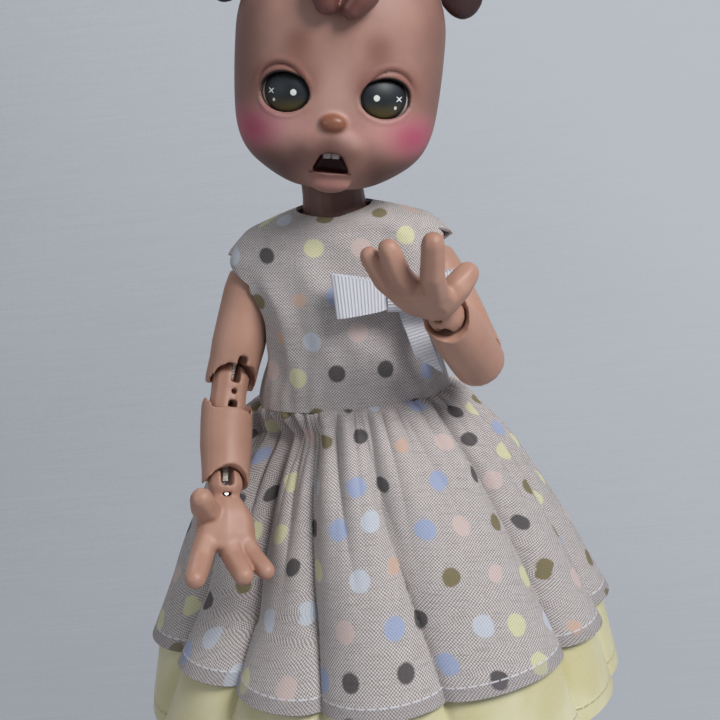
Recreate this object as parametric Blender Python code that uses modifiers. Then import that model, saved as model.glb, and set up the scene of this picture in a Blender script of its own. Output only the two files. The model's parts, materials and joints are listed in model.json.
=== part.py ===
"""A ball jointed doll in a gathered summer dress, strung on elastic, with its clothes.

The doll stands on its soles at z = 0 and faces -Y, so its own left side is at +X. Every moving
piece is modelled on the bench, around the centre of its own joint with its length down -Z, and is
then parented to an empty that stands on that joint and holds the joint's angle in this pose.
"""

import math

import bmesh
import bpy
from mathutils import Matrix, Vector

# Clearances and cutters
CLEARANCE = 0.0003
OVERRUN = 0.002

# Heights, built up from the soles
ANKLE_HEIGHT = 0.0160
SHIN_LENGTH = 0.0390
KNEE_PITCH = 0.0080
THIGH_LENGTH = 0.0460
TORSO_LENGTH = 0.0900
SKIRT_LENGTH = 0.0565
PETTICOAT_SHOWS = 0.0175
HIP_HEIGHT = ANKLE_HEIGHT + SHIN_LENGTH + KNEE_PITCH + THIGH_LENGTH
NECK_PIVOT_HEIGHT = HIP_HEIGHT + TORSO_LENGTH
SHOULDER_HEIGHT = NECK_PIVOT_HEIGHT - TORSO_LENGTH * 0.2
CAVITY_TOP = NECK_PIVOT_HEIGHT - TORSO_LENGTH * 0.3
CAVITY_BOTTOM = NECK_PIVOT_HEIGHT - TORSO_LENGTH * 0.8333
BODICE_TOP = NECK_PIVOT_HEIGHT - TORSO_LENGTH * 0.0778
BOW_HEIGHT = NECK_PIVOT_HEIGHT - TORSO_LENGTH * 0.3111
WAIST_HEIGHT = NECK_PIVOT_HEIGHT - TORSO_LENGTH * 0.5833
SKIRT_HEM_HEIGHT = WAIST_HEIGHT - SKIRT_LENGTH
PETTICOAT_HEM_HEIGHT = SKIRT_HEM_HEIGHT - PETTICOAT_SHOWS

# Head, measured from the neck's pivot
HEAD_WIDTH = 0.0486
HEAD_FRONT = 0.0256
HEAD_BACK = 0.0248
HEAD_HEIGHT = 0.0585
HEAD_CHIN_DROP = 0.0010
HEAD_WALL = 0.0026
CAP_SEAM_HEIGHT = HEAD_HEIGHT * 0.6906
CAP_SEAM_TILT = 17.0
NOSE_HEIGHT = HEAD_HEIGHT * 0.2564
NOSE_WIDTH = 0.0076
NOSE_TALL = 0.0050
NOSE_DEEP = 0.0040
MUZZLE_WIDTH = 0.0170
MUZZLE_TALL = 0.0150
MUZZLE_DEEP = 0.0060
MUZZLE_HEIGHT = HEAD_HEIGHT * 0.1538
MOUTH_WIDTH = 0.0100
MOUTH_TALL = 0.0046
MOUTH_DEEP = 0.0040
MOUTH_HEIGHT = HEAD_HEIGHT * 0.0991
LIP_WIDTH = 0.0094
LIP_TALL = 0.0036
LIP_DEEP = 0.0034
LIP_HEIGHT = HEAD_HEIGHT * 0.0376

# Eyes and ears
EYE_RADIUS = 0.0068
EYE_SPREAD = 0.0121
EYE_HEIGHT = HEAD_HEIGHT * 0.3538
EYE_TURN = 20.0
EYE_SUNK = 0.0008
EYE_FLAT = 0.0025
EYE_HOLE_WIDTH = 0.0120
EYE_HOLE_TALL = 0.0098
EAR_LENGTH = 0.0185
EAR_WIDTH = 0.0105
EAR_THICK = 0.0030
EAR_ROOT_SPREAD = 0.0185
EAR_ROOT_HEIGHT = HEAD_HEIGHT * 0.8752

# Curls of the forelock
CURL_RADIUS = 0.0044
CURL_RISE = 0.0016
CURL_START = 78.0
CURL_STEPS = 4

# Magnets that hold the head cap
MAGNET_RADIUS = 0.0020
MAGNET_THICK = 0.0020
BOSS_WALL = 0.0022
BOSS_DEEP = 0.0060

# Neck
NECK_RADIUS = 0.0074
NECK_SEAT_WALL = 0.0026
NECK_BORE_RADIUS = 0.0042
NECK_HOOK_RADIUS = 0.0009
WASHER_THICK = 0.0015
WASHER_SPREAD = 42.0

# Torso
TORSO_WIDTH = 0.0400
TORSO_DEPTH = 0.0270
TORSO_WALL = 0.0032

# Stringing
ELASTIC_RADIUS = 0.0007
BORE_RADIUS = 0.0013
SLOT_HALF = 0.0011
ELASTIC_SHY = 0.0007
HOOK_RADIUS = 0.00045
HOOK_REACH = 0.0028
HOOK_BAR = 0.0050

# Shoulders and arms
SHOULDER_SPREAD = 0.0200
SHOULDER_BALL_RADIUS = 0.0057
SHOULDER_FLAT = 0.0148
UPPER_ARM_LENGTH = 0.0300
UPPER_ARM_RADIUS = 0.0065
ELBOW_RADIUS = 0.0047
ELBOW_PITCH = 0.0064
ELBOW_WALL = 0.0011
ELBOW_RIM = 0.0015
ELBOW_ARCH = 0.0045
FOREARM_LENGTH = 0.0205
FOREARM_RADIUS = 0.0063
WRIST_BALL_RADIUS = 0.0043
WRIST_WALL = 0.0009

# Hands
PALM_LENGTH = 0.0160
PALM_WIDTH = 0.0136
PALM_THICK = 0.0064
FINGER_RADIUS = 0.0026
FINGER_LENGTH = 0.0115
THUMB_RADIUS = 0.0029
THUMB_LENGTH = 0.0085

# Hips and legs
HIP_SPREAD = 0.0115
HIP_BALL_RADIUS = 0.0085
SWEEP_TILT = 33.0
RAISED_THIGHS = ((90.0, 0.0), (57.0, 0.0), (80.0, 26.0))
THIGH_RADIUS = 0.0094
KNEE_RADIUS = 0.0058
KNEE_WALL = 0.0013
KNEE_RIM = 0.0019
KNEE_ARCH = 0.0056
SHIN_RADIUS = 0.0078
ANKLE_BALL_RADIUS = 0.0047
ANKLE_WALL = 0.0010

# Feet
FOOT_LENGTH = 0.0300
FOOT_WIDTH = 0.0140
FOOT_HEEL = 0.0090
FOOT_TALL = 0.0105
TOE_RADIUS = 0.0021

# Dress
CLOTH = 0.0007
WAIST_WIDTH = 0.0470
WAIST_DEPTH = 0.0380
BODICE_WALL = 0.0014
ARMHOLE_RADIUS = 0.0108
ARM_EASE = 0.0010
SKIRT_HEM_RADIUS = 0.0575
SKIRT_FOLD_DEEP = 0.0024
SKIRT_DENT = 0.0125
SKIRT_DENT_PLACE = 225.0
SKIRT_DENT_SPREAD = 54.0
PETTICOAT_HEM_RADIUS = 0.0600
PETTICOAT_FOLD_DEEP = 0.0016
PETTICOAT_INSET = 0.0019

# Bow
RIBBON_WIDTH = 0.0105
RIBBON_THICK = 0.0005
BOW_LOOP_LENGTH = 0.0140
BOW_LOOP_DEEP = 0.0036
BOW_SPREAD = 0.0115
BOW_KNOT_WIDTH = 0.0042
BOW_TAIL_LENGTH = 0.0200
BOW_OFF_CLOTH = 0.0012
BOW_TURN = 6.0
BOW_TAIL_SPREAD = 16.0
BOW_TAIL_FORWARD = 0.0040

# Counts
LIMB_SIDES = 12
BALL_SIDES = 12
SOCKET_SIDES = 16
CORD_SIDES = 6
HEAD_SIDES = 20
TORSO_SIDES = 16
BODICE_SIDES = 18
FOLDS = 12
POINTS_PER_FOLD = 4
FINGER_CURL = 34.0

# Shares
HIP_BORE_LEAN = 0.6
SIDE_BEND_SHARE = 0.21
LIFT_SLOT_SHARE = {"shoulder_ball": 1.3, "hip_ball": 0.75}

# The pose, in degrees: the doll's right arm hangs with its palm forward, its left hand is raised
HEAD_ROLL = 10.0
POSE = {
    "right": {
        "swing": -14.1, "lift": 17.9, "turn": 27.7, "elbow": 32.5,
        "wrist_turn": -12.1, "wrist_bend": -8.4, "wrist_side": -2.9,
    },
    "left": {
        "swing": -28.8, "lift": -20.5, "turn": -11.9, "elbow": 113.0,
        "wrist_turn": 34.6, "wrist_bend": -10.5, "wrist_side": 3.1,
    },
}

# How far the magnets stand in front of the head's middle and behind it, as shares of its depth there
MAGNET_PLACE_SHARES = (0.63, 0.78)

# Outline shares, each list hand picked for its piece
HEAD_SECTION_SHARES = (
    # height, half width, front, back
    (0.000, 0.115, 0.58, -0.29),
    (0.016, 0.290, 0.74, -0.08),
    (0.045, 0.442, 0.835, 0.20),
    (0.077, 0.570, 0.89, 0.38),
    (0.109, 0.678, 0.925, 0.51),
    (0.157, 0.800, 0.955, 0.64),
    (0.234, 0.903, 0.975, 0.78),
    (0.342, 0.964, 0.985, 0.90),
    (0.470, 0.993, 1.000, 0.98),
    (0.590, 1.000, 1.000, 1.00),
)
CRANIUM_STEPS = 5
GATHER_SHARES = (
    # share of the skirt's drop, share of the way from the waist's radius to the hem's
    (0.00, 0.00), (0.08, 0.23), (0.19, 0.38), (0.33, 0.53), (0.63, 0.80), (1.00, 1.00),
)
TORSO_SECTION_SHARES = (
    # height between the hips and the neck's pivot, half width, half depth
    (0.8784, 0.460, 0.640),
    (0.8563, 0.720, 0.700),
    (0.8275, 0.930, 0.760),
    (0.7944, 0.985, 0.820),
    (0.7347, 0.735, 0.870),
    (0.6241, 0.715, 0.930),
    (0.5136, 0.800, 0.930),
    (0.4030, 0.890, 0.930),
    (0.2924, 0.960, 0.980),
    (0.1819, 1.040, 1.060),
    (0.0824, 1.060, 1.080),
    (0.0116, 0.960, 1.000),
    (-0.0260, 0.700, 0.800),
    (-0.0481, 0.360, 0.480),
)
BOW_TAIL_SECTION_SHARES = (
    # down, forward, inner edge, outer edge
    (0.00, 0.00, -1.0, 1.0), (0.30, 0.35, -1.0, 1.0), (0.65, 0.75, -1.0, 1.05), (1.00, 1.00, 0.8, 1.10),
)
BODICE_SECTION_SHARES = (
    # height between the waist and the top edge, half width, half depth
    (1.000, 0.450, 0.540),
    (0.960, 0.720, 0.580),
    (0.860, 1.110, 0.650),
    (0.760, 1.190, 0.720),
    (0.640, 1.120, 0.800),
    (0.480, 0.900, 0.880),
    (0.330, 0.800, 0.940),
    (0.240, 0.850, 0.970),
    (0.120, 0.950, 0.990),
    (0.000, 1.000, 1.000),
)


# Scene


def clear_scene():
    """Removes whatever the scene starts with."""
    for obj in list(bpy.data.objects):
        bpy.data.objects.remove(obj, do_unlink=True)


clear_scene()
PARTS = bpy.data.collections.new("ball_jointed_doll")
FRAMES = bpy.data.collections.new("joint_frames")
for collection in (PARTS, FRAMES):
    bpy.context.scene.collection.children.link(collection)


def material(name, color, roughness, metallic=0.0):
    """A Principled material with the part's colour, roughness and metallic value."""
    made = bpy.data.materials.new(name)
    made.use_nodes = True
    shader = made.node_tree.nodes["Principled BSDF"]
    shader.inputs["Base Color"].default_value = (*color, 1.0)
    shader.inputs["Roughness"].default_value = roughness
    shader.inputs["Metallic"].default_value = metallic
    made.diffuse_color = (*color, 1.0)
    return made


def frame(name, parent=None, at=(0, 0, 0), turn=("Z", 0.0)):
    """An empty that stands on a joint and holds its angle in this pose."""
    empty = bpy.data.objects.new(name, None)
    FRAMES.objects.link(empty)
    empty.parent = parent
    empty.matrix_local = Matrix.Translation(at) @ Matrix.Rotation(math.radians(turn[1]), 4, turn[0])
    return empty


# Modelling tools


def as_object(name, bm):
    """A new object that holds the bmesh."""
    mesh = bpy.data.meshes.new(name)
    bmesh.ops.recalc_face_normals(bm, faces=bm.faces)
    bm.to_mesh(mesh)
    bm.free()
    obj = bpy.data.objects.new(name, mesh)
    PARTS.objects.link(obj)
    return obj


def baked(obj):
    """The object with its modifiers made real."""
    graph = bpy.context.evaluated_depsgraph_get()
    mesh = bpy.data.meshes.new_from_object(obj.evaluated_get(graph))
    obj.modifiers.clear()
    obj.data = mesh
    return obj


def combine(obj, other, operation):
    """A Boolean of two objects, made real, without the second one."""
    modifier = obj.modifiers.new(operation.lower(), "BOOLEAN")
    modifier.object = other
    modifier.operation = operation
    modifier.solver = "EXACT"
    baked(obj)
    bpy.data.objects.remove(other, do_unlink=True)
    return obj


def cut(obj, *tools):
    for tool in tools:
        combine(obj, tool, "DIFFERENCE")
    return obj


def join(obj, *others):
    for other in others:
        combine(obj, other, "UNION")
    return obj


def keep(obj, other):
    return combine(obj, other, "INTERSECT")


def shaped(obj, matrix):
    """The object with its mesh moved by the matrix, and turned outside out again if it mirrors."""
    obj.data.transform(matrix)
    if matrix.determinant() < 0:
        obj.data.flip_normals()
    return obj


def moved(obj, at, turn=("Z", 0.0)):
    return shaped(obj, Matrix.Translation(at) @ Matrix.Rotation(math.radians(turn[1]), 4, turn[0]))


def mirrored(obj):
    return shaped(obj, Matrix.Scale(-1, 4, (1, 0, 0)))


def copied(obj):
    made = bpy.data.objects.new(obj.name, obj.data.copy())
    PARTS.objects.link(made)
    return made


def ball(radius, scale=(1, 1, 1), sides=BALL_SIDES):
    """A sphere, or an ellipsoid where the scale says so."""
    bm = bmesh.new()
    bmesh.ops.create_uvsphere(bm, u_segments=sides, v_segments=sides * 5 // 8, radius=radius)
    bmesh.ops.scale(bm, vec=scale, verts=bm.verts)
    return as_object("ball", bm)


def box(low, high):
    bm = bmesh.new()
    low, high = Vector(low), Vector(high)
    middle = Matrix.Translation((low + high) / 2)
    bmesh.ops.create_cube(bm, size=1, matrix=middle @ Matrix.Diagonal((*(high - low), 1)))
    return as_object("box", bm)


def rod(radius, start, end, sides=12, end_radius=None):
    """A cylinder or a cone between two points."""
    start, end = Vector(start), Vector(end)
    along = end - start
    turn = along.to_track_quat("Z", "Y").to_matrix().to_4x4()
    bm = bmesh.new()
    bmesh.ops.create_cone(
        bm,
        cap_ends=True,
        segments=sides,
        radius1=radius,
        radius2=radius if end_radius is None else end_radius,
        depth=along.length,
        matrix=Matrix.Translation((start + end) / 2) @ turn,
    )
    return as_object("rod", bm)


def ring(middle, half_x, half_y, sides, power=2.0, y_front=None):
    """A superellipse of points in the level plane; the front half may have its own depth."""
    points = []
    for step in range(sides):
        angle = 2 * math.pi * step / sides
        c, s = math.cos(angle), math.sin(angle)
        deep = y_front if s < 0 and y_front is not None else half_y
        x = math.copysign(abs(c) ** (2 / power), c) * half_x
        y = math.copysign(abs(s) ** (2 / power), s) * deep
        points.append(Vector(middle) + Vector((x, y, 0)))
    return points


def loft(rings):
    """A closed solid through rings that each hold as many points."""
    bm = bmesh.new()
    rows = [[bm.verts.new(point) for point in points] for points in rings]
    for upper, lower in zip(rows, rows[1:]):
        for k in range(len(upper)):
            n = (k + 1) % len(upper)
            bm.faces.new((upper[k], upper[n], lower[n], lower[k]))
    bm.faces.new(rows[0])
    bm.faces.new(rows[-1])
    return as_object("loft", bm)


def tube_between(outer, inner):
    """A closed sheet of cloth between an outer and an inner set of rings."""
    bm = bmesh.new()
    rows = [[bm.verts.new(point) for point in points] for points in outer + inner[::-1]]
    for upper, lower in zip(rows, rows[1:] + rows[:1]):
        for k in range(len(upper)):
            n = (k + 1) % len(upper)
            bm.faces.new((upper[k], upper[n], lower[n], lower[k]))
    return as_object("cloth", bm)


def limb_of(points, radii, sides=8, flat=1.0):
    """A rounded, tapering limb along a bent line, such as a finger or a curl."""
    line = [Vector(point) for point in points]
    rings = []
    for k, middle in enumerate(line):
        ahead = (line[min(k + 1, len(line) - 1)] - line[max(k - 1, 0)]).normalized()
        across = Vector((0, 1, 0)).cross(ahead)
        if across.length < 0.1:
            across = Vector((1, 0, 0))
        across.normalize()
        other = ahead.cross(across)
        rings.append([
            middle + radii[k] * (across * math.cos(a) + other * math.sin(a) * flat)
            for a in (2 * math.pi * s / sides for s in range(sides))
        ])
    return loft(rings)


def rounded_limb(points, radii, sides=8, flat=1.0):
    """The same limb with a domed tip."""
    line = [Vector(point) for point in points]
    ahead = (line[-1] - line[-2]).normalized()
    tip, size = line[-1], radii[-1]
    for angle in (35.0, 65.0):
        a = math.radians(angle)
        line.append(tip + ahead * size * math.sin(a))
        radii = (*radii, size * math.cos(a))
    return limb_of(line, radii, sides, flat)


def turned(profile, sides=LIMB_SIDES):
    """A solid of revolution: a closed outline that runs down its outer side, with a Screw."""
    bm = bmesh.new()
    row = [bm.verts.new((r, 0, z)) for r, z in profile]
    for k, point in enumerate(row):
        bm.edges.new((point, row[(k + 1) % len(row)]))
    mesh = bpy.data.meshes.new("turned")
    bm.to_mesh(mesh)
    bm.free()
    obj = bpy.data.objects.new("turned", mesh)
    PARTS.objects.link(obj)
    screw = obj.modifiers.new("screw", "SCREW")
    screw.axis = "Z"
    screw.angle = 2 * math.pi
    screw.steps = sides
    screw.render_steps = sides
    screw.use_merge_vertices = True
    screw.merge_threshold = 0.00001
    baked(obj)
    bm = bmesh.new()
    bm.from_mesh(obj.data)
    bmesh.ops.recalc_face_normals(bm, faces=bm.faces)
    bm.to_mesh(obj.data)
    bm.free()
    return obj


def arc(radius, middle_z, start, end, steps):
    """Points on a circle around the axis, from one polar angle to another, in degrees."""
    angles = [math.radians(start + (end - start) * k / steps) for k in range(steps + 1)]
    return [(radius * math.sin(a), middle_z + radius * math.cos(a)) for a in angles]


def prism(outline, low, high):
    """A solid whose outline of (x, z) points runs through from one y to another."""
    return loft([[Vector((x, y, z)) for x, z in outline] for y in (low, high)])


def piece(obj, name, carrier, finish):
    """Names a finished solid, gives it its material and hangs it on its body's frame."""
    obj.name = name
    obj.data.name = name
    obj.data.materials.clear()
    obj.data.materials.append(finish)
    obj.data.shade_smooth()
    obj.data.set_sharp_from_angle(angle=math.radians(35))
    obj.parent = carrier
    return obj


# Materials
RESIN = material("mocha_resin", (0.376, 0.231, 0.168), 0.42)
DARK_RESIN = material("dark_brown_resin", (0.055, 0.022, 0.019), 0.40)
EYE = material("olive_eye", (0.030, 0.034, 0.018), 0.08)
LINEN = material("dotted_linen", (0.330, 0.290, 0.255), 0.85)
SATEEN = material("yellow_sateen", (0.800, 0.720, 0.420), 0.60)
RIBBON = material("grosgrain_ribbon", (0.730, 0.700, 0.770), 0.50)
ELASTIC = material("white_elastic", (0.700, 0.690, 0.660), 0.80)
STEEL = material("steel_hook", (0.560, 0.560, 0.570), 0.30, 1.0)
MAGNET = material("nickel_magnet", (0.500, 0.500, 0.520), 0.25, 1.0)


# Head


def head_rings(shrink=0.0):
    """The head's outline as level rings, drawn in all round by the wall where asked."""
    half = HEAD_WIDTH / 2
    widest = HEAD_SECTION_SHARES[-1][0] * HEAD_HEIGHT - HEAD_CHIN_DROP
    top = HEAD_HEIGHT - HEAD_CHIN_DROP
    sections = [
        (share * HEAD_HEIGHT - HEAD_CHIN_DROP, w * half, f * HEAD_FRONT, b * HEAD_BACK)
        for share, w, f, b in HEAD_SECTION_SHARES
    ]
    for step in range(1, CRANIUM_STEPS + 1):
        a = math.radians(84.0 * step / CRANIUM_STEPS)
        c = math.cos(a)
        sections.append((widest + (top - widest) * math.sin(a), c * half, c * HEAD_FRONT, c * HEAD_BACK))
    middle = (widest + top) / 2 - (top - widest) / 2
    squeeze = Vector((1 - shrink / half, 1 - shrink / HEAD_FRONT, 1 - shrink / (top - widest)))
    rings = []
    for z, w, front, back in sections:
        centre_y = (back - front) / 2
        deep = (back + front) / 2
        points = []
        for step in range(HEAD_SIDES):
            angle = 2 * math.pi * step / HEAD_SIDES
            c, s = math.cos(angle), math.sin(angle)
            power = 2.5 if s < 0 else 2.1
            x = math.copysign(abs(c) ** (2 / power), c) * w
            y = centre_y + math.copysign(abs(s) ** (2 / power), s) * deep
            points.append(Vector((x * squeeze.x, y * squeeze.y, middle + (z - middle) * squeeze.z)))
        rings.append(points)
    return rings


def face_front(height):
    """How far forward the plain head reaches at a height above the neck's pivot."""
    share = (height + HEAD_CHIN_DROP) / HEAD_HEIGHT
    for low, high in zip(HEAD_SECTION_SHARES, HEAD_SECTION_SHARES[1:]):
        if share <= high[0]:
            part = (share - low[0]) / (high[0] - low[0])
            return (low[2] + (high[2] - low[2]) * part) * HEAD_FRONT
    return HEAD_FRONT


def eye_place():
    """The centre of the right eye, sunk behind the face along the way that it looks."""
    look = Vector((-math.sin(math.radians(EYE_TURN)), -math.cos(math.radians(EYE_TURN)), 0))
    half = HEAD_WIDTH / 2
    front = face_front(EYE_HEIGHT)
    y = -front * (1 - (EYE_SPREAD / half) ** 2.5) ** (1 / 2.5)
    surface = Vector((-EYE_SPREAD, y, EYE_HEIGHT))
    return surface, surface - look * (EYE_SUNK + EYE_RADIUS), look


def eye_turned(obj):
    """Turns something that faces -Y on the bench to look the way the right eye does."""
    return shaped(obj, Matrix.Rotation(-math.radians(EYE_TURN), 4, "Z"))


def eye_ball(radius):
    """An eye blank facing -Y: most of a ball with a flat back."""
    made = ball(radius, sides=12)
    behind = box((-radius - OVERRUN, EYE_FLAT, -radius - OVERRUN),
                 (radius + OVERRUN, radius + OVERRUN, radius + OVERRUN))
    return cut(made, behind)


def eye_hole():
    """The lid opening, a slightly flared oval that faces -Y."""
    made = rod(1.0, (0, -1.0, 0), (0, 0.5, 0), sides=14, end_radius=0.86)
    scale = (EYE_HOLE_WIDTH / 2, EYE_RADIUS, EYE_HOLE_TALL / 2)
    return shaped(made, Matrix.Diagonal((*scale, 1)))


def seam_side(gap, above):
    """A block that fills the space above or below the cap's seam, less half the gap."""
    reach = HEAD_WIDTH * 2
    low, high = (gap, reach) if above else (-reach, -gap)
    made = box((-reach, -reach, low), (reach, reach, high))
    return moved(made, (0, 0, CAP_SEAM_HEIGHT), ("X", -CAP_SEAM_TILT))


def seam_point(y):
    """A place on the seam's middle line."""
    return Vector((0, y, CAP_SEAM_HEIGHT - y * math.tan(math.radians(CAP_SEAM_TILT))))


def magnet_stack(radius, low, high, y):
    """A short cylinder square to the cap's seam at y."""
    up = Vector((0, math.sin(math.radians(CAP_SEAM_TILT)), math.cos(math.radians(CAP_SEAM_TILT))))
    at = seam_point(y)
    return rod(radius, at + up * low, at + up * high, sides=10)


def make_head(carrier, cap_carrier):
    surface, eye_at, look = eye_place()
    magnet_places = (-MAGNET_PLACE_SHARES[0] * HEAD_FRONT, MAGNET_PLACE_SHARES[1] * HEAD_BACK)
    outer = loft(head_rings())
    muzzle_y = -face_front(MUZZLE_HEIGHT)
    muzzle = moved(
        ball(1.0, (MUZZLE_WIDTH / 2, MUZZLE_DEEP, MUZZLE_TALL / 2)),
        (0, muzzle_y + MUZZLE_DEEP * 0.55, MUZZLE_HEIGHT),
    )
    nose_y = -face_front(NOSE_HEIGHT)
    nose = moved(
        ball(1.0, (NOSE_WIDTH / 2, NOSE_DEEP / 2, NOSE_TALL / 2), sides=12),
        (0, nose_y - NOSE_DEEP * 0.12, NOSE_HEIGHT),
    )
    lip_y = -face_front(LIP_HEIGHT)
    lip = moved(
        ball(1.0, (LIP_WIDTH / 2, LIP_DEEP / 2, LIP_TALL / 2), sides=10),
        (0, lip_y - LIP_DEEP * 0.2, LIP_HEIGHT),
    )
    join(outer, muzzle, nose, lip)
    mouth = moved(
        ball(1.0, (MOUTH_WIDTH / 2, MOUTH_DEEP, MOUTH_TALL / 2), sides=12),
        (0, -face_front(MOUTH_HEIGHT) - MUZZLE_DEEP * 0.3, MOUTH_HEIGHT),
    )
    shell = cut(outer, loft(head_rings(HEAD_WALL)))
    seat_radius = NECK_RADIUS + CLEARANCE + NECK_SEAT_WALL
    join(shell, keep(ball(seat_radius, sides=14), loft(head_rings(HEAD_WALL / 2))))
    boss_radius = MAGNET_RADIUS + CLEARANCE + BOSS_WALL
    for y in magnet_places:
        boss = magnet_stack(boss_radius, -BOSS_DEEP, BOSS_DEEP, y)
        join(shell, keep(boss, loft(head_rings(HEAD_WALL / 2))))
    cap = keep(copied(shell), seam_side(CLEARANCE / 2, True))
    keep(shell, seam_side(CLEARANCE / 2, False))
    neck_room = rod(NECK_RADIUS + CLEARANCE * 3.5, (0, 0, -OVERRUN), (0, 0, 0), sides=14)
    cut(shell, mouth, ball(NECK_RADIUS + CLEARANCE * 2, sides=14), neck_room)
    cut(shell, rod(NECK_BORE_RADIUS, (0, 0, 0), (0, 0, NECK_RADIUS * 2), sides=14))
    for side in (-1, 1):
        hole = eye_turned(eye_hole())
        seat = eye_turned(eye_ball(EYE_RADIUS + CLEARANCE))
        moved(hole, surface - look * EYE_SUNK)
        moved(seat, eye_at)
        eye = moved(eye_turned(eye_ball(EYE_RADIUS)), eye_at)
        if side > 0:
            mirrored(hole)
            mirrored(seat)
            mirrored(eye)
        cut(shell, hole, seat)
        piece(eye, "eye_left" if side > 0 else "eye_right", carrier, EYE)
    deep = MAGNET_THICK + CLEARANCE
    half_gap = CLEARANCE / 2
    pocket = MAGNET_RADIUS + CLEARANCE
    for spot, y in zip(("front", "back"), magnet_places):
        cut(shell, magnet_stack(pocket, -deep - half_gap, OVERRUN, y))
        cut(cap, magnet_stack(pocket, -OVERRUN, deep + half_gap, y))
        low = magnet_stack(MAGNET_RADIUS, -MAGNET_THICK - half_gap, -half_gap, y)
        high = magnet_stack(MAGNET_RADIUS, half_gap, MAGNET_THICK + half_gap, y)
        piece(low, "head_magnet_" + spot, carrier, MAGNET)
        piece(high, "cap_magnet_" + spot, cap_carrier, MAGNET)
    piece(shell, "head_shell", carrier, RESIN)
    piece(cap, "head_cap", cap_carrier, RESIN)


def make_ear(side, carrier):
    """A drooping leaf-shaped ear that grows from the side of the cap."""
    shares = ((0.00, 0.36), (0.18, 0.62), (0.42, 0.92), (0.66, 1.00), (0.85, 0.86), (0.96, 0.56))
    drop = EAR_LENGTH * 0.62
    out = EAR_LENGTH * 0.50
    rings = []
    for along, wide in shares:
        bend = math.sin(along * math.pi / 2)
        middle = Vector((EAR_ROOT_SPREAD + out * bend, 0, EAR_ROOT_HEIGHT - drop * along * along))
        ahead = Vector((out * math.cos(along * math.pi / 2), 0, -2 * drop * along)).normalized()
        across = Vector((0, 1, 0)).cross(ahead)
        half_wide = EAR_WIDTH / 2 * wide
        rings.append([
            middle + across * math.cos(a) * half_wide + Vector((0, 1, 0)) * math.sin(a) * EAR_THICK / 2
            for a in (2 * math.pi * k / 10 for k in range(10))
        ])
    ear = loft(rings)
    if side < 0:
        mirrored(ear)
    cut(ear, loft(head_rings(-CLEARANCE)))
    piece(ear, "ear_left" if side > 0 else "ear_right", carrier, DARK_RESIN)


def make_forelock(carrier):
    """Sculpted curls that fall from the top of the cap over the forehead."""
    top = HEAD_HEIGHT - HEAD_CHIN_DROP
    tips = (
        # across and up as shares of half the head, then how wide
        (-0.190, 0.790, 1.00),
        (0.110, 0.755, 0.95),
        (0.270, 0.830, 0.90),
        (-0.400, 0.860, 0.85),
    )
    widest = HEAD_SECTION_SHARES[-1][0] * HEAD_HEIGHT - HEAD_CHIN_DROP
    lock = None
    for across, up, size in tips:
        radius = CURL_RADIUS * size
        tip = math.degrees(math.asin((up * HEAD_HEIGHT - widest) / (top - widest)))
        line, radii = [], []
        for k in range(CURL_STEPS + 1):
            part = k / CURL_STEPS
            a = math.radians(CURL_START + (tip - CURL_START) * part)
            y = -(HEAD_FRONT + CURL_RISE) * math.cos(a)
            z = widest + (top - widest + CURL_RISE) * math.sin(a)
            line.append((across * HEAD_WIDTH / 2 * (0.4 + 0.6 * part), y, z))
            radii.append(radius * (0.80 + 0.25 * math.sin(part * math.pi)) * (1 - 0.30 * part))
        curl = rounded_limb(line, tuple(radii), sides=6)
        lock = curl if lock is None else join(lock, curl)
    cut(lock, loft(head_rings(-CLEARANCE)))
    piece(lock, "forelock", carrier, DARK_RESIN)


# Neck


def neck_cord_end():
    """The height at which the neck's elastic meets the legs' inside the torso."""
    return CAVITY_TOP - (CAVITY_TOP - CAVITY_BOTTOM) * 0.2


def make_neck_stringing(elastic_carrier, hook_carrier):
    snug = math.cos(math.pi / LIMB_SIDES)
    seat = (NECK_RADIUS + CLEARANCE * 2 + NECK_SEAT_WALL) / snug
    hook_foot = NECK_RADIUS * 0.16
    shank = rod(NECK_HOOK_RADIUS, (0, 0, hook_foot), (0, 0, seat + WASHER_THICK * 0.8), sides=10)
    spread = math.radians(WASHER_SPREAD)
    profile = arc(seat + WASHER_THICK, 0, 6, WASHER_SPREAD, 3) + arc(seat, 0, WASHER_SPREAD, 6, 3)
    washer = turned(profile)
    plug = rod(seat * math.sin(spread) * 0.2, (0, 0, seat * 0.99), (0, 0, seat + WASHER_THICK * 0.9))
    join(washer, plug, shank)
    piece(washer, "neck_hook", hook_carrier, STEEL)
    end = neck_cord_end() - NECK_PIVOT_HEIGHT
    cord = rod(ELASTIC_RADIUS, (0, 0, end), (0, 0, hook_foot - ELASTIC_SHY), sides=CORD_SIDES)
    piece(cord, "neck_elastic", elastic_carrier, ELASTIC)


# Torso


def torso_rings():
    """Neck dome, neck column, shoulders, chest, waist, hips and crotch as level rings."""
    rings = []
    for polar in (22, 45, 68, 90):
        a = math.radians(polar)
        height = NECK_PIVOT_HEIGHT + NECK_RADIUS * math.cos(a)
        rings.append(ring((0, 0, height), NECK_RADIUS * math.sin(a), NECK_RADIUS * math.sin(a), TORSO_SIDES))
    for drop, wider in ((0.5, 1.0), (1.0, 1.04)):
        size = NECK_RADIUS * wider
        rings.append(ring((0, 0, NECK_PIVOT_HEIGHT - NECK_RADIUS * drop), size, size, TORSO_SIDES))
    for share, wide, deep in TORSO_SECTION_SHARES:
        middle = (0, 0, HIP_HEIGHT + share * TORSO_LENGTH)
        rings.append(ring(middle, wide * TORSO_WIDTH / 2, deep * TORSO_DEPTH / 2, TORSO_SIDES, 2.2))
    return rings


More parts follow.
